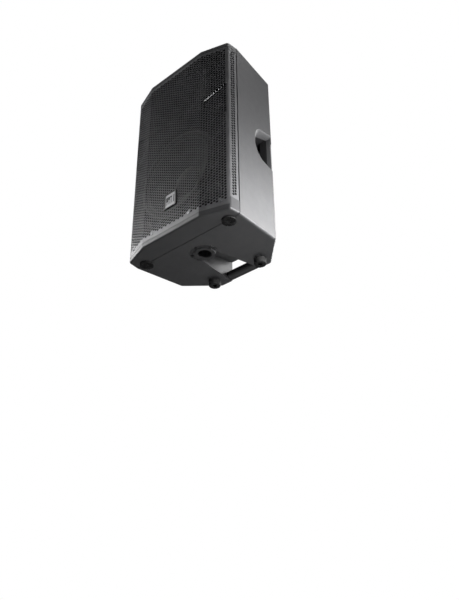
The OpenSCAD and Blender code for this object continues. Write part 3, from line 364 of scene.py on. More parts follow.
def piece(name, points, faces, slot, body=CABINET, replaces=(), angle_deg=35.0, finish=None):
    """A new mesh piece that takes its slot's finish, unless another is given, and rides on a body."""
    mesh = bpy.data.meshes.new(name)
    mesh.from_pydata([tuple(p) for p in points], [], faces)
    mesh.validate()
    builder = bmesh.new()
    builder.from_mesh(mesh)
    bmesh.ops.recalc_face_normals(builder, faces=builder.faces)
    builder.to_mesh(mesh)
    builder.free()
    smooth(mesh, angle_deg)
    made = bpy.data.objects.new(name, mesh)
    bpy.context.scene.collection.objects.link(made)
    mesh.materials.append(material_for(finish or slot))
    if replaces:
        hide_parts(*replaces)
    if body:
        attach(made, body)
    return made


def ring_faces(first, second, count, closed=True):
    """Quads between two rings of points, given by their first indices."""
    return [(first + i, first + (i + 1) % count, second + (i + 1) % count, second + i)
            for i in range(count if closed else count - 1)]


def lathe(profile, centre, segments=160):
    """Points and faces of a closed outline of (radius, y) turned about the Y axis through centre."""
    points = []
    for radius, y in profile:
        for k in range(segments):
            a = 2 * math.pi * k / segments
            points.append((centre.x + radius * math.cos(a), y, centre.z + radius * math.sin(a)))
    faces = []
    for i in range(len(profile)):
        faces += ring_faces(i * segments, (i + 1) % len(profile) * segments, segments)
    return points, faces


def arc(centre_r, centre_y, radius, start_deg, end_deg, steps):
    for k in range(steps + 1):
        a = math.radians(start_deg + (end_deg - start_deg) * k / steps)
        yield centre_r + radius * math.cos(a), centre_y + radius * math.sin(a)


# --- Grille: a perforated sheet, laid out flat as (distance along the sheet, height), then bent ---
GRILLE_LOW, GRILLE_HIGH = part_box("grille")
SHEET = 1.2 * MM
FACET_X = 105 * MM          # half width of the centre facet
FACET_FALL = 27 * MM        # how far the side facets fall back
SIDE_LEAN = 4 / 34          # outward lean of the side flange for each metre of depth
BEND_R = 9 * MM
HOLE_PITCH = 9.0 * MM
HOLE_R = 3.9 * MM
HOLE_SIDES = 12
COLUMN = HOLE_PITCH * math.sqrt(3) / 2
BOTTOM_MARGIN = 9 * MM
TOP_MARGIN = 5 * MM
FLANGE_BOTTOM = UNDERSIDE + 40 * MM
FLANGE_TOP = GRILLE_HIGH.z - 5 * MM
FLANGE_MARGIN = 8 * MM      # plain metal at both ends of the flange
CORNER_CUT_WIDTH = 20 * MM      # slanted cut at the flange's top corner
CORNER_CUT_HEIGHT = 13 * MM
PRESS_DEPTH = 3 * MM

outer_corner_y = GRILLE_LOW.y + FACET_FALL
outer_corner_x = GRILLE_HIGH.x - SIDE_LEAN * (GRILLE_HIGH.y - outer_corner_y)
SHEET_CORNERS = [
    Vector((0, GRILLE_LOW.y)),
    Vector((FACET_X, GRILLE_LOW.y)),
    Vector((outer_corner_x, outer_corner_y)),
    Vector((GRILLE_HIGH.x, GRILLE_HIGH.y)),
]


def sheet_path(corners, radius):
    """Straight and bent stretches of the sheet: (distance, length, start point, heading, 1 / radius)."""
    stretches, distance, cut = [], 0.0, 0.0
    for i in range(len(corners) - 1):
        run = corners[i + 1] - corners[i]
        heading = math.atan2(run.y, run.x)
        start = corners[i] + run.normalized() * cut
        turn, next_cut = 0.0, 0.0
        if i + 2 < len(corners):
            after = corners[i + 2] - corners[i + 1]
            turn = math.atan2(after.y, after.x) - heading
            next_cut = radius * math.tan(turn / 2)
        length = run.length - cut - next_cut
        stretches.append((distance, length, start, heading, 0.0))
        distance += length
        if turn:
            bend_start = start + run.normalized() * length
            stretches.append((distance, radius * turn, bend_start, heading, 1 / radius))
            distance += radius * turn
        cut = next_cut
    return stretches


SHEET_PATH = sheet_path(SHEET_CORNERS, BEND_R)
BEND_1, BEND_2 = SHEET_PATH[1], SHEET_PATH[3]
bend_1_middle = BEND_1[0] + BEND_1[1] / 2
bend_2_start = BEND_2[0]
bend_2_end = BEND_2[0] + BEND_2[1]
sheet_end = SHEET_PATH[-1][0] + SHEET_PATH[-1][1]
facet_start = SHEET_PATH[2][0]


def on_sheet(s, z, depth):
    """The point at distance s along the sheet and height z, at a depth behind its outer face."""
    side = 1 if s >= 0 else -1
    s = abs(s)
    start, _, point, heading, bend = [p for p in SHEET_PATH if p[0] <= s + 1e-9][-1]
    ahead = s - start
    if bend:
        centre = point + Vector((-math.sin(heading), math.cos(heading))) / bend
        a = heading + ahead * bend
        place = centre + Vector((math.sin(a), -math.cos(a))) / bend
    else:
        a = heading
        place = point + Vector((math.cos(a), math.sin(a))) * ahead
    place = place + Vector((-math.sin(a), math.cos(a))) * depth
    return side * place.x, place.y, z


# Pressed panel on each side facet, as (distance along the sheet, height)
PRESS_START = facet_start + 9 * MM
PRESS_OUTLINE = [Vector(p) for p in (
    (PRESS_START, UNDERSIDE + 371 * MM),
    (bend_2_start, UNDERSIDE + 330.5 * MM),
    (bend_2_start, UNDERSIDE + 446 * MM),
    (PRESS_START, UNDERSIDE + 402 * MM),
)]
PRESS_WALL = 1.2 * MM


def press_inset(s, z):
    """How far a place is inside the pressed panel's outline; negative outside."""
    nearest = 1.0
    for i, corner in enumerate(PRESS_OUTLINE):
        edge = PRESS_OUTLINE[(i + 1) % len(PRESS_OUTLINE)] - corner
        inward = Vector((-edge.y, edge.x)).normalized()
        nearest = min(nearest, inward.dot(Vector((abs(s), z)) - corner))
    return nearest


def press_depth(s, z):
    return PRESS_DEPTH * max(0.0, min(1.0, press_inset(s, z) / PRESS_WALL))


GRILLE_SCREWS = loose_parts("grille_screws")
SCREW_CLEAR = 3.6 * MM      # plain metal round the middle of each screw


def has_hole(s, z):
    side = abs(s)
    if z < GRILLE_LOW.z + BOTTOM_MARGIN + HOLE_R or z > GRILLE_HIGH.z - TOP_MARGIN - HOLE_R:
        return False
    # The face's holes may run a little way into the bend, and the flange's start just behind it
    on_face = side < bend_2_start - HOLE_R * 0.4
    on_flange = bend_2_end + HOLE_R * 0.2 < side < bend_2_end + 2 * COLUMN
    if on_flange and not FLANGE_BOTTOM + FLANGE_MARGIN < z < FLANGE_TOP - FLANGE_MARGIN:
        return False
    x = on_sheet(s, z, 0)[0]
    for low, high in GRILLE_SCREWS:
        head = (low + high) / 2
        if math.hypot(x - head.x, z - head.z) < SCREW_CLEAR + HOLE_R:
            return False
    badge_low, badge_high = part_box("badge_frame")
    if badge_low.x + 2 * MM < s < badge_high.x - 2 * MM and badge_low.z < z < badge_high.z:
        return False
    return on_face or on_flange


def flat_sheet(s_from, s_to):
    """A flat mesh of six-sided cells between two distances, with round holes in the perforated cells."""
    builder = bmesh.new()
    corners = {}
    same_place = 0.05 * MM

    def corner(s, z):
        key = (round(s / same_place), round(z / same_place))
        if key not in corners:
            corners[key] = builder.verts.new((s, 0, z))
        return corners[key]

    turns = [2 * math.pi * k / HOLE_SIDES for k in range(HOLE_SIDES)]
    cell_r = [HOLE_PITCH / math.sqrt(3) if k % 2 == 0 else HOLE_PITCH / 2 for k in range(HOLE_SIDES)]
    rows = range(int(GRILLE_LOW.z / HOLE_PITCH) - 1, int(GRILLE_HIGH.z / HOLE_PITCH) + 3)
    for k in range(int(s_from / COLUMN) - 2, int(s_to / COLUMN) + 3):
        for j in rows:
            s, z = k * COLUMN, (j + 0.5 * (k % 2)) * HOLE_PITCH
            outside = [corner(s + r * math.cos(a), z + r * math.sin(a)) for a, r in zip(turns, cell_r)]
            if not has_hole(s, z):
                builder.faces.new(outside)
                continue
            inside = [builder.verts.new((s + HOLE_R * math.cos(a), 0, z + HOLE_R * math.sin(a)))
                      for a in turns]
            for i in range(HOLE_SIDES):
                n = (i + 1) % HOLE_SIDES
                builder.faces.new((outside[i], outside[n], inside[n], inside[i]))
    return builder


def cut_line(builder, point, normal, clear=False, near=None):
    """Cuts the flat mesh along a line, and drops what lies beyond it if asked."""
    faces = [f for f in builder.faces if near is None or near(f.calc_center_median())]
    # Each edge and corner once, in a fixed order, so that every run gives the same mesh
    edges = dict.fromkeys(e for f in faces for e in f.edges)
    corners = dict.fromkeys(v for f in faces for v in f.verts)
    bmesh.ops.bisect_plane(builder, geom=[*faces, *edges, *corners], dist=1e-7, clear_outer=clear,
                           plane_co=(point[0], 0, point[1]), plane_no=(normal[0], 0, normal[1]))


def trim_sheet(builder, s_from, s_to):
    cut_line(builder, (s_from, 0), (-1, 0), clear=True)
    cut_line(builder, (s_to, 0), (1, 0), clear=True)
    cut_line(builder, (0, GRILLE_LOW.z), (0, -1), clear=True)
    cut_line(builder, (0, GRILLE_HIGH.z), (0, 1), clear=True)


def trim_flange(builder, side):
    """Shortens the flange, slants its top corner, and cuts the sheet along the pressing's edges."""
    flange_start = bend_2_start + BEND_2[1] * 0.55
    cut_line(builder, (side * flange_start, 0), (side, 0))

    def beyond(place):
        return abs(place.x) > flange_start

    cut_line(builder, (0, FLANGE_BOTTOM), (0, -1), near=beyond)
    cut_line(builder, (0, FLANGE_TOP), (0, 1), near=beyond)
    slant = Vector((side * CORNER_CUT_HEIGHT, CORNER_CUT_WIDTH)).normalized()
    low_end = (side * sheet_end, FLANGE_TOP - CORNER_CUT_HEIGHT)
    cut_line(builder, low_end, slant, near=beyond)

    def cut_off(place):
        past_slant = slant.dot(Vector((place.x - low_end[0], place.z - low_end[1]))) > 0
        return beyond(place) and (place.z < FLANGE_BOTTOM or place.z > FLANGE_TOP or past_slant)

    drop = [f for f in builder.faces if cut_off(f.calc_center_median())]
    bmesh.ops.delete(builder, geom=drop, context="FACES")

    def near_panel(place):
        return press_inset(place.x, place.z) > -6 * MM

    for i, start in enumerate(PRESS_OUTLINE):
        edge = PRESS_OUTLINE[(i + 1) % len(PRESS_OUTLINE)] - start
        inward = Vector((-edge.y, edge.x)).normalized()
        for step in (0.0, PRESS_WALL):
            point = start + inward * step
            cut_line(builder, (side * point.x, point.y), (side * inward.x, inward.y), near=near_panel)


def grille_piece(name, s_from, s_to, side):
    builder = flat_sheet(s_from, s_to)
    trim_sheet(builder, s_from, s_to)
    if side:
        trim_flange(builder, side)
    loose = [v for v in builder.verts if not v.link_faces]
    bmesh.ops.delete(builder, geom=loose, context="VERTS")
    builder.verts.index_update()
    flat = [(v.co.x, v.co.z, press_depth(v.co.x, v.co.z)) for v in builder.verts]
    count = len(flat)
    points = [on_sheet(s, z, depth) for s, z, depth in flat]
    points += [on_sheet(s, z, depth + SHEET) for s, z, depth in flat]
    faces = []
    for face in builder.faces:
        loop = [v.index for v in face.verts]
        faces.append(tuple(loop))
        faces.append(tuple(i + count for i in reversed(loop)))
    for edge in builder.edges:
        if len(edge.link_faces) == 1:
            a, b = (v.index for v in edge.verts)
            faces.append((a, b, b + count, a + count))
    builder.free()
    return piece(name, points, faces, "grille_steel", replaces=["grille"], angle_deg=30)


def build_grille():
    grille_piece("grille_centre", -bend_1_middle, bend_1_middle, 0)
    grille_piece("grille_right", bend_1_middle, sheet_end, 1)
    grille_piece("grille_left", -sheet_end, -bend_1_middle, -1)


# --- Woofer's soft parts ---

def radial_blend(obj):
    """Bakes the ring's placement into its mesh; the ring is not attached to the cabinet or the cone."""
    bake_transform(obj)


def build_cone():
    low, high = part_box("woofer_cone")
    centre = middle("woofer_cone")
    cone_r = (high.x - low.x) / 2
    coil_r = 32.6 * MM
    thickness = 1.2 * MM
    depth = high.y - low.y - thickness
    steps = 64

    def front(radius):
        share = max(0.0, (cone_r - radius) / (cone_r - coil_r))
        rib = 0.35 * MM * max(0.0, math.sin(radius / (9 * MM) * 2 * math.pi)) ** 6
        return low.y + depth * share ** 0.85 + (rib if 0.06 < share < 0.75 else 0)

    radii = [coil_r + (cone_r - coil_r) * k / steps for k in range(steps + 1)]
    profile = [(r, front(r)) for r in radii] + [(r, front(r) + thickness) for r in reversed(radii)]
    points, faces = lathe(profile, centre)
    piece("woofer_cone_paper", points, faces, "cone_paper", CONE, ["woofer_cone"])


def build_dust_cap():
    low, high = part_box("woofer_dust_cap")
    centre = middle("woofer_dust_cap")
    base_r = (high.x - low.x) / 2
    wall = 0.8 * MM
    steps, segments = 20, 96
    rise = high.y - low.y - wall
    ball_r = (base_r ** 2 + rise ** 2) / (2 * rise)
    opening = math.degrees(math.asin(base_r / ball_r))
    outside = list(arc(0, low.y + ball_r, ball_r, -90, -90 + opening, steps))[1:]
    inside = list(arc(0, low.y + ball_r, ball_r - wall, -90 + opening, -90, steps))[:-1]
    points, faces = lathe(outside + inside, centre, segments)
    last_ring = len(outside + inside) - 1
    # The two rings round the tips are closed by fans, not joined to each other
    faces = [f for f in faces if {i // segments for i in f} != {0, last_ring}]
    tip = len(points)
    points += [(centre.x, low.y, centre.z), (centre.x, low.y + wall, centre.z)]
    last = last_ring * segments
    faces += [(tip, i, (i + 1) % segments) for i in range(segments)]
    faces += [(tip + 1, last + (i + 1) % segments, last + i) for i in range(segments)]
    piece("woofer_dust_dome", points, faces, "cone_paper", CONE, ["woofer_dust_cap"])


def build_surround():
    low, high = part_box("woofer_surround")
    centre = middle("woofer_surround")
    outer_r = (high.x - low.x) / 2
    roll_r = 8 * MM
    inner_r = 113 * MM
    roll_middle = 125.8 * MM
    cloth = 0.8 * MM
    lip = high.y - cloth
    outside = [(outer_r, high.y), (outer_r, lip)]
    outside += list(arc(roll_middle, lip, roll_r + cloth / 2, 0, -180, 32))
    outside += [(inner_r, lip), (inner_r, high.y)]
    inside = list(arc(roll_middle, high.y, roll_r - cloth / 2, -180, 0, 32))
    points, faces = lathe(outside + inside, centre, 192)
    made = piece("woofer_roll_surround", points, faces, "surround_cloth", None, ["woofer_surround"], 50)
    radial_blend(made)


def build_spider():
    low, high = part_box("woofer_spider")
    centre = middle("woofer_spider")
    outer_r = (high.x - low.x) / 2
    inner_r = 34.2 * MM
    wave_end = outer_r - 10 * MM
    cloth = 0.8 * MM
    waves, wave_height = 5, 1.6 * MM
    base = low.y + wave_height
    steps = 100

    def level(radius):
        if radius >= wave_end:
            return base + 1.4 * MM
        turn = 2 * math.pi * waves * (radius - inner_r) / (wave_end - inner_r)
        return base + wave_height * math.sin(turn)

    radii = [inner_r + (outer_r - inner_r) * k / steps for k in range(steps + 1)]
    profile = [(r, level(r)) for r in radii] + [(r, level(r) + cloth) for r in reversed(radii)]
    points, faces = lathe(profile, centre, 144)
    made = piece("woofer_spider_cloth", points, faces, "spider_cloth", None, ["woofer_spider"], 50)
    radial_blend(made)


# --- Horn: one closed loft from the throat out to the mouth and back round its flange ---

def build_horn():
    low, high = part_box("horn")
    centre = middle("horn")
    sides, steps = 128, 28
    throat_r = 12.7 * MM
    wall = 2.6 * MM
    lip = 1.2 * MM
    side_flange, top_flange = 14 * MM, 11 * MM
    flange_t = 4 * MM
    corner_r = 8 * MM
    collar_r, collar_t, collar_edge = 38 * MM, 6 * MM, 1 * MM
    half_w, half_h = (high.x - low.x) / 2, (high.z - low.z) / 2
    diagonal = math.hypot(half_w, half_h)
    square_power = 26
    turns = [2 * math.pi * k / sides for k in range(sides)]

    def mouth_ring(share, y, grow):
        power = 2 + 6 * share
        w = throat_r + (half_w - side_flange - throat_r) * share ** 1.6 + grow
        h = throat_r + (half_h - top_flange - throat_r) * share ** 1.3 + grow
        ring = []
        for a in turns:
            k = (abs(math.cos(a)) ** power + abs(math.sin(a)) ** power) ** (-1 / power)
            ring.append((centre.x + w * k * math.cos(a), y, centre.z + h * k * math.sin(a)))
        return ring

    def flange_ring(shrink, y):
        """A rectangle with rounded corners, its points spread by angle."""
        w, h, r = half_w - shrink, half_h - shrink, corner_r - shrink
        ring = []
        for a in turns:
            u = math.cos(a) * half_h / diagonal
            v = math.sin(a) * half_w / diagonal
            k = (abs(u) ** square_power + abs(v) ** square_power) ** (-1 / square_power)
            x, z = w * u * k, h * v * k
            over_x, over_z = abs(x) - (w - r), abs(z) - (h - r)
            if over_x > 0 and over_z > 0:
                scale = r / max(math.hypot(over_x, over_z), 1e-9)
                if scale < 1:
                    x = math.copysign(w - r + over_x * scale, x)
                    z = math.copysign(h - r + over_z * scale, z)
            ring.append((centre.x + x, y, centre.z + z))
        return ring

    rings = [flange_ring(0, low.y + flange_t), flange_ring(0, low.y + 1 * MM), flange_ring(1 * MM, low.y)]
    rings.append(mouth_ring(1, low.y, lip))
    for k in range(steps + 1):
        share = 1 - k / steps
        front = low.y + (lip if k == 0 else 0)
        rings.append(mouth_ring(share, front + (high.y - front) * k / steps, 0))
    for k in range(steps, -1, -1):
        share = 1 - k / steps
        y = low.y + lip + (high.y - low.y - lip) * k / steps
        if y > low.y + flange_t or k == steps:
            rings.append(mouth_ring(share, y, wall))
    points = [p for ring in rings for p in ring]
    faces = []
    for i in range(len(rings)):
        faces += ring_faces(i * sides, (i + 1) % len(rings) * sides, sides)
    collar_front = high.y - collar_t
    collar = [(throat_r + wall, collar_front), (collar_r - collar_edge, collar_front),
              (collar_r, collar_front + collar_edge), (collar_r, high.y), (throat_r + wall, high.y)]
    collar_points, collar_faces = lathe(collar, centre, 96)
    faces += [tuple(i + len(points) for i in face) for face in collar_faces]
    points += collar_points
    piece("horn_flare", points, faces, "horn_plastic", CABINET, ["horn"])


# --- Damping wadding: slabs that swell like glued-in fibre mats ---

def cloth_swell(obj, frames=16, pressure=3.0, cap=5 * MM):
    """Swells a closed mesh with Blender's cloth, and holds each point to within a cap of where it began."""
    rest = np.array([v.co for v in obj.data.vertices])
    cloth = obj.modifiers.new("swell", "CLOTH")
    cloth.settings.quality = 5
    cloth.settings.use_pressure = True
    cloth.settings.uniform_pressure_force = pressure
    cloth.settings.effector_weights.gravity = 0.0
    cloth.point_cache.frame_end = frames
    for step in range(1, frames + 1):
        bpy.context.scene.frame_set(step)
    swollen = obj.evaluated_get(bpy.context.evaluated_depsgraph_get())
    moved = np.array([v.co for v in swollen.data.vertices]) - rest
    length = np.linalg.norm(moved, axis=1, keepdims=True)
    moved *= np.minimum(1.0, cap / np.maximum(length, 1e-9))
    obj.modifiers.remove(cloth)
    obj.data.vertices.foreach_set("co", (rest + moved).astype(np.float32).ravel())
    bpy.context.scene.frame_set(1)


def build_wadding():
    lumps_per_metre, lump_height = 55, 1.6 * MM
    for number, (low, high) in enumerate(loose_parts("damping_wadding"), 1):
        room = 4 * MM       # left on each side for the mat to swell into
        builder = bmesh.new()
        bmesh.ops.create_cube(builder, size=1.0)
        size = high - low - Vector((2 * room,) * 3)
        centre = (low + high) / 2
        for vertex in builder.verts:
            vertex.co = centre + Vector((vertex.co.x * size.x, vertex.co.y * size.y, vertex.co.z * size.z))
        mesh = bpy.data.meshes.new(f"wadding_mat_{number}")
        builder.to_mesh(mesh)
        builder.free()
        mat = bpy.data.objects.new(f"wadding_mat_{number}", mesh)
        bpy.context.scene.collection.objects.link(mat)
        remesh = mat.modifiers.new("even", "REMESH")
        remesh.mode = "VOXEL"
        remesh.voxel_size = 5 * MM
        bpy.context.view_layer.update()
        even = bpy.data.meshes.new_from_object(mat.evaluated_get(bpy.context.evaluated_depsgraph_get()))
        mat.modifiers.clear()
        mat.data = even
        for vertex in even.vertices:
            lump = noise.fractal(vertex.co * lumps_per_metre, 1.0, 2.0, 3) * lump_height
            vertex.co += (vertex.co - centre).normalized() * lump
        cloth_swell(mat)
        for vertex in even.vertices:
            vertex.co = Vector([min(max(vertex.co[i], low[i]), high[i]) for i in range(3)])
        subdivision = mat.modifiers.new("smooth", "SUBSURF")
        subdivision.levels = subdivision.render_levels = 1
        even.polygons.foreach_set("use_smooth", [True] * len(even.polygons))
        even.materials.append(material_for("wadding"))
        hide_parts("damping_wadding")
        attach(mat, CABINET)


# --- Cables: tubes along smooth runs ---

def smooth_run(stops, per_stop=8):
    """A Catmull-Rom curve through the stops."""
    ends = [stops[0] * 2 - stops[1]] + stops + [stops[-1] * 2 - stops[-2]]
    run = []
    for i in range(1, len(ends) - 2):
        for k in range(per_stop):
            t = k / per_stop
            a, b, c, d = ends[i - 1:i + 3]
            run.append(0.5 * (2 * b + (c - a) * t + (2 * a - 5 * b + 4 * c - d) * t * t
                              + (3 * b - a - 3 * c + d) * t ** 3))
    return run + [stops[-1]]


def tube(run, radius, sides=14):
    """Points and faces of a round tube with flat ends; the ring turns with the run without twisting."""
    points, faces = [], []
    side = Vector((1, 0, 0))
    for i, place in enumerate(run):
        ahead = (run[min(i + 1, len(run) - 1)] - run[max(i - 1, 0)]).normalized()
        side = (side - ahead * side.dot(ahead)).normalized()
        over = ahead.cross(side)
        for k in range(sides):
            a = 2 * math.pi * k / sides
            points.append(place + (side * math.cos(a) + over * math.sin(a)) * radius)
        if i:
            faces += ring_faces((i - 1) * sides, i * sides, sides)
    faces.append(tuple(range(sides)))
    faces.append(tuple(reversed(range(len(points) - sides, len(points)))))
    return points, faces


def build_cables():
    cover_low, cover_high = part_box("amp_cover")
    basket = middle("woofer_basket")
    horn_driver = middle("hf_back_cover")
    start = Vector((0, cover_low.y - 1 * MM, cover_high.z - 64 * MM))
    woofer_stops = [
        start,
        start + Vector((20, -13, -8)) * MM,
        start + Vector((42, -25, -48)) * MM,
        start + Vector((60, -41, -98)) * MM,
        Vector((100 * MM, 20 * MM, basket.z + 118 * MM)),
        Vector((104 * MM, -20 * MM, basket.z + 88 * MM)),
        Vector((92 * MM, -52 * MM, basket.z + 74 * MM)),
    ]
    horn_stops = [
        start + Vector((4, -1, 6)) * MM,
        start + Vector((14, -21, 22)) * MM,
        start + Vector((24, -51, 30)) * MM,
        Vector((30 * MM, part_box("hf_back_cover")[1].y + 2 * MM, horn_driver.z + 3 * MM)),
    ]
    points, faces = [], []
    for stops, radius in ((woofer_stops, 2.4 * MM), (horn_stops, 1.8 * MM)):
        new_points, new_faces = tube(smooth_run(stops), radius)
        faces += [tuple(i + len(points) for i in face) for face in new_faces]
        points += new_points
    piece("speaker_wires", points, faces, "cable_red", CABINET, ["speaker_cables"], 60)


# --- CAD pieces that keep their shape: clean edges and a finish ---
# Width of the rounded edges in mm; nodes that aren't listed take the usual width.
EDGE_MM = {
    "front_shell": 1.0, "rear_shell": 1.0, "pole_cup": 0.6, "rear_grip": 0.5, "left_handle_cup": 0.6,
    "right_handle_cup": 0.6, "front_feet": 0.5, "rear_feet": 0.8, "woofer_basket": 0.6, "amp_plate": 0.3,
    "badge_frame": 0.6, "badge_plate": 0.25, "heat_sink": 0.3, "gain_knob_1": 0.3, "gain_knob_2": 0.3,
    "encoder_knob": 0.3, "power_rocker": 0.5, "hf_diaphragm": 0.0, "woofer_voice_coil": 0.1,
    "input_button": 0.4, "damping_wadding": 0.0, "transformer": 0.8, "capacitors": 0.8,
}
USUAL_EDGE_MM = 0.25


def finish_cad(name, node):
    mesh = node.data
    if "custom_normal" in mesh.attributes:
        mesh.attributes.remove(mesh.attributes["custom_normal"])
    mesh.polygons.foreach_set("use_smooth", [True] * len(mesh.polygons))
    mesh.materials.clear()
    # The front shell takes the finish that paints shade behind its grille.
    mesh.materials.append(material_for("front_shell_plastic_painted_shade" if name == "front_shell" else SLOT_OF[name]))
    weld = node.modifiers.new("weld", "WELD")
    weld.merge_threshold = 0.005 * MM
    flatten = node.modifiers.new("flatten", "DECIMATE")
    flatten.decimate_type = "DISSOLVE"
    flatten.angle_limit = math.radians(0.6)
    width = EDGE_MM.get(name, USUAL_EDGE_MM)
    if width:
        bevel = node.modifiers.new("edge", "BEVEL")
        bevel.width = width * MM
        bevel.segments = 2
        bevel.limit_method = "ANGLE"
        bevel.angle_limit = math.radians(32)
        bevel.use_clamp_overlap = True
        bevel.harden_normals = False
    normals = node.modifiers.new("normals", "WEIGHTED_NORMAL")
    normals.keep_sharp = False
    normals.weight = 80


# --- Printed marks on the amplifier panel, and pointers on its knobs ---

def ring_band(centre, y, r0, r1, start_deg, end_deg, steps):
    """A thin flat band of an arc on the panel, as points and faces of a closed strip."""
    ink = 0.12 * MM
    points, faces = [], []
    for k in range(steps + 1):
        a = math.radians(start_deg + (end_deg - start_deg) * k / steps)
        for radius in (r0, r1):
            for lift in (0.0, ink):
                points.append((centre.x + radius * math.sin(a), y + lift, centre.z + radius * math.cos(a)))
    for k in range(steps):
        a, b = 4 * k, 4 * k + 4
        faces += [(a, b, b + 1, a + 1), (a + 1, b + 1, b + 3, a + 3), (a + 3, b + 3, b + 2, a + 2),
                  (a + 2, b + 2, b, a)]
    faces += [(0, 1, 3, 2), (4 * steps, 4 * steps + 2, 4 * steps + 3, 4 * steps + 1)]
    return points, faces


def build_panel_print():
    """Round each knob: an arc, and ticks outside it that are longer at the ends and the middle."""
    panel_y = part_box("amp_plate")[1].y
    arc_low, arc_high, tick_start = 11.6 * MM, 12 * MM, 12.2 * MM
    long_tick, short_tick = 2.6 * MM, 1.5 * MM
    half_turn, ticks, half_tick = 150, 11, 1.2
    points, faces = [], []

    def add(new_points, new_faces):
        faces.extend(tuple(i + len(points) for i in face) for face in new_faces)
        points.extend(new_points)

    for knob in ("gain_knob_1", "gain_knob_2", "encoder_knob"):
        centre = middle(knob)
        add(*ring_band(centre, panel_y, arc_low, arc_high, -half_turn, half_turn, 40))
        for k in range(ticks):
            a = -half_turn + 2 * half_turn * k / (ticks - 1)
            length = long_tick if k in (0, ticks // 2, ticks - 1) else short_tick
            add(*ring_band(centre, panel_y, tick_start, tick_start + length, a - half_tick, a + half_tick, 1))
    piece("panel_marks", points, faces, "button_grey", finish="panel_ink")


def build_pointers():
    knobs = (("gain_knob_1", "gain_1"), ("gain_knob_2", "gain_2"), ("encoder_knob", "encoder_turn"))
    half, point = 0.5 * MM, 0.8 * MM
    sunk, proud = 0.6 * MM, 0.1 * MM
    for knob, body in knobs:
        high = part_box(knob)[1]
        centre = middle(knob)
        bottom, top = centre.z + 1.6 * MM, high.z - 2.4 * MM
        outline = [(centre.x - half, bottom), (centre.x + half, bottom), (centre.x + half, top),
                   (centre.x, top + point), (centre.x - half, top)]
        points = [(x, high.y + step, z) for step in (-sunk, proud) for x, z in outline]
        count = len(outline)
        faces = ring_faces(0, count, count)
        faces += [tuple(range(count)), tuple(range(2 * count - 1, count - 1, -1))]
        piece(f"{body}_pointer", points, faces, "button_grey", body, finish="panel_ink")


# --- Studio ---

def area_light(name, place, target, size, power, size_y=None, spread_deg=180):
    data = bpy.data.lights.new(name, "AREA")
    data.shape = "RECTANGLE" if size_y else "SQUARE"
    data.size = size
    if size_y:
        data.size_y = size_y
    data.energy = power
    data.spread = math.radians(spread_deg)
    light = bpy.data.objects.new(name, data)
    bpy.context.scene.collection.objects.link(light)
    light.location = place
    light.rotation_mode = "QUATERNION"
    light.rotation_quaternion = (target - place).to_track_quat("-Z", "Y")
    light.visible_camera = False
    return light


def build_studio():
    low, high = cad_bounds
    centre = (low + high) / 2
    base = Vector((0, 0, low.z))
    # The softboxes mirror in the lower parts of the front and of the right side, as seen by the camera
    side_foot = base + Vector((0.185, 0.05, 0.1))
    area_light("soft_left", base + Vector((-1.75, -1.75, 1.1)), base + Vector((0, -0.1, 0.12)), 0.9, 8,
               spread_deg=90)
    area_light("soft_far_left", base + Vector((-2.3, -0.55, 1.0)), base + Vector((-0.15, -0.1, 0.1)), 0.8, 5,
               spread_deg=90)
    area_light("soft_right", base + Vector((1.2, 1.25, 0.8)), side_foot, 0.7, 6, spread_deg=90)
    area_light("low_right", base + Vector((0.49, 0.06, 0)), side_foot, 0.45, 2.9, size_y=0.1, spread_deg=120)
    area_light("under_soft", base + Vector((-0.5, 1.2, -1.25)), base, 0.8, 0.35, spread_deg=60)
    area_light("top_soft", centre + Vector((0.3, 0.3, 2.3)), centre, 1.6, 12, spread_deg=60)
    area_light("rear_soft", centre + Vector((-0.2, 2.4, 0.6)), centre, 1.6, 9, spread_deg=60)
    world = bpy.data.worlds.new("studio")
    bpy.context.scene.world = world
    world.use_nodes = True
    nodes, links = world.node_tree.nodes, world.node_tree.links
    nodes.clear()
    seen, unseen = nodes.new("ShaderNodeBackground"), nodes.new("ShaderNodeBackground")
    seen.inputs["Color"].default_value = (1, 1, 1, 1)
    seen.inputs["Strength"].default_value = 1.0
    unseen.inputs["Color"].default_value = (0.95, 0.97, 1.0, 1)
    unseen.inputs["Strength"].default_value = 0.05
    mix = nodes.new("ShaderNodeMixShader")
    path = nodes.new("ShaderNodeLightPath")
    output = nodes.new("ShaderNodeOutputWorld")
    links.new(path.outputs["Is Camera Ray"], mix.inputs[0])
    links.new(unseen.outputs[0], mix.inputs[1])
    links.new(seen.outputs[0], mix.inputs[2])
    links.new(mix.outputs[0], output.inputs[0])


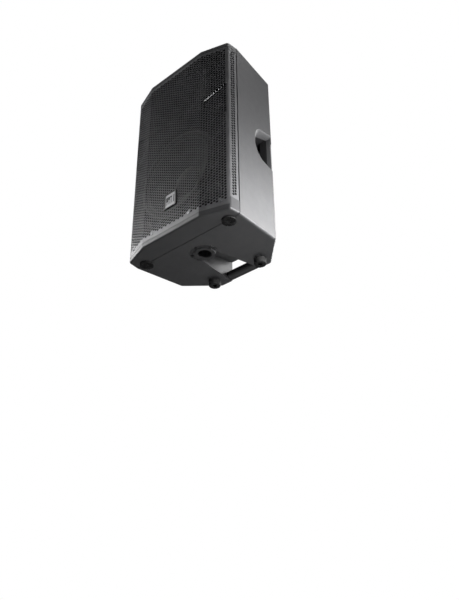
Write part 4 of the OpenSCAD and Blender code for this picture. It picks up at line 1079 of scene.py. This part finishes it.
def build_floor():
    """A pale sheet well below the cabinet, so that the camera can look up from under it."""
    reach = 12.0
    level = UNDERSIDE - 1.5
    mesh = bpy.data.meshes.new("floor")
    mesh.from_pydata([(-reach, -reach, level), (reach, -reach, level), (reach, reach, level),
                      (-reach, reach, level)], [], [(0, 1, 2, 3)])
    floor = bpy.data.objects.new("floor", mesh)
    bpy.context.scene.collection.objects.link(floor)
    tree = Tree("floor_paper")
    grit = tree.noise(300.0, 3.0)
    tree.put(tree.mix(grit, (0.8, 0.8, 0.8), (0.86, 0.86, 0.86)), tree.shader.inputs["Base Color"])
    tree.shader.inputs["Roughness"].default_value = 0.9
    # The camera sees the paper evenly lit, but it throws no light back up at the cabinet
    tree.shader.inputs["Emission Color"].default_value = (0.88, 0.88, 0.88, 1)
    seen = tree.nodes.new("ShaderNodeLightPath").outputs["Is Camera Ray"]
    tree.links.new(seen, tree.shader.inputs["Emission Strength"])
    mesh.materials.append(tree.material)


# The camera stands below the cabinet and to its right, and looks up
CAMERA_PLACE = Vector((1.1139, -1.178, UNDERSIDE - 1.0883))
CAMERA_YAW = 41.05
CAMERA_PITCH = 30.22
CAMERA_ROLL = -0.67
CAMERA_LENS = 42.67


def build_camera():
    yaw, pitch, roll = (math.radians(a) for a in (CAMERA_YAW, CAMERA_PITCH, CAMERA_ROLL))
    ahead = Vector((-math.sin(yaw) * math.cos(pitch), math.cos(yaw) * math.cos(pitch), math.sin(pitch)))
    right = ahead.cross(Vector((0, 0, 1))).normalized()
    up = right.cross(ahead)
    rolled_right = right * math.cos(roll) + up * math.sin(roll)
    rolled_up = up * math.cos(roll) - right * math.sin(roll)
    data = bpy.data.cameras.new("camera")
    data.lens = CAMERA_LENS
    data.sensor_width = 36.0
    data.clip_start, data.clip_end = 0.05, 60.0
    camera = bpy.data.objects.new("camera", data)
    bpy.context.scene.collection.objects.link(camera)
    turn = Matrix((rolled_right, rolled_up, -ahead)).transposed()
    camera.matrix_world = Matrix.Translation(CAMERA_PLACE) @ turn.to_4x4()
    bpy.context.scene.camera = camera


for cad_name, cad_node in frame["nodes"].items():
    finish_cad(cad_name, cad_node)
build_grille()
build_cone()
build_dust_cap()
build_surround()
build_spider()
build_horn()
build_wadding()
build_cables()
build_panel_print()
build_pointers()
build_floor()
build_studio()
build_camera()
bpy.context.scene.view_settings.view_transform = "Standard"
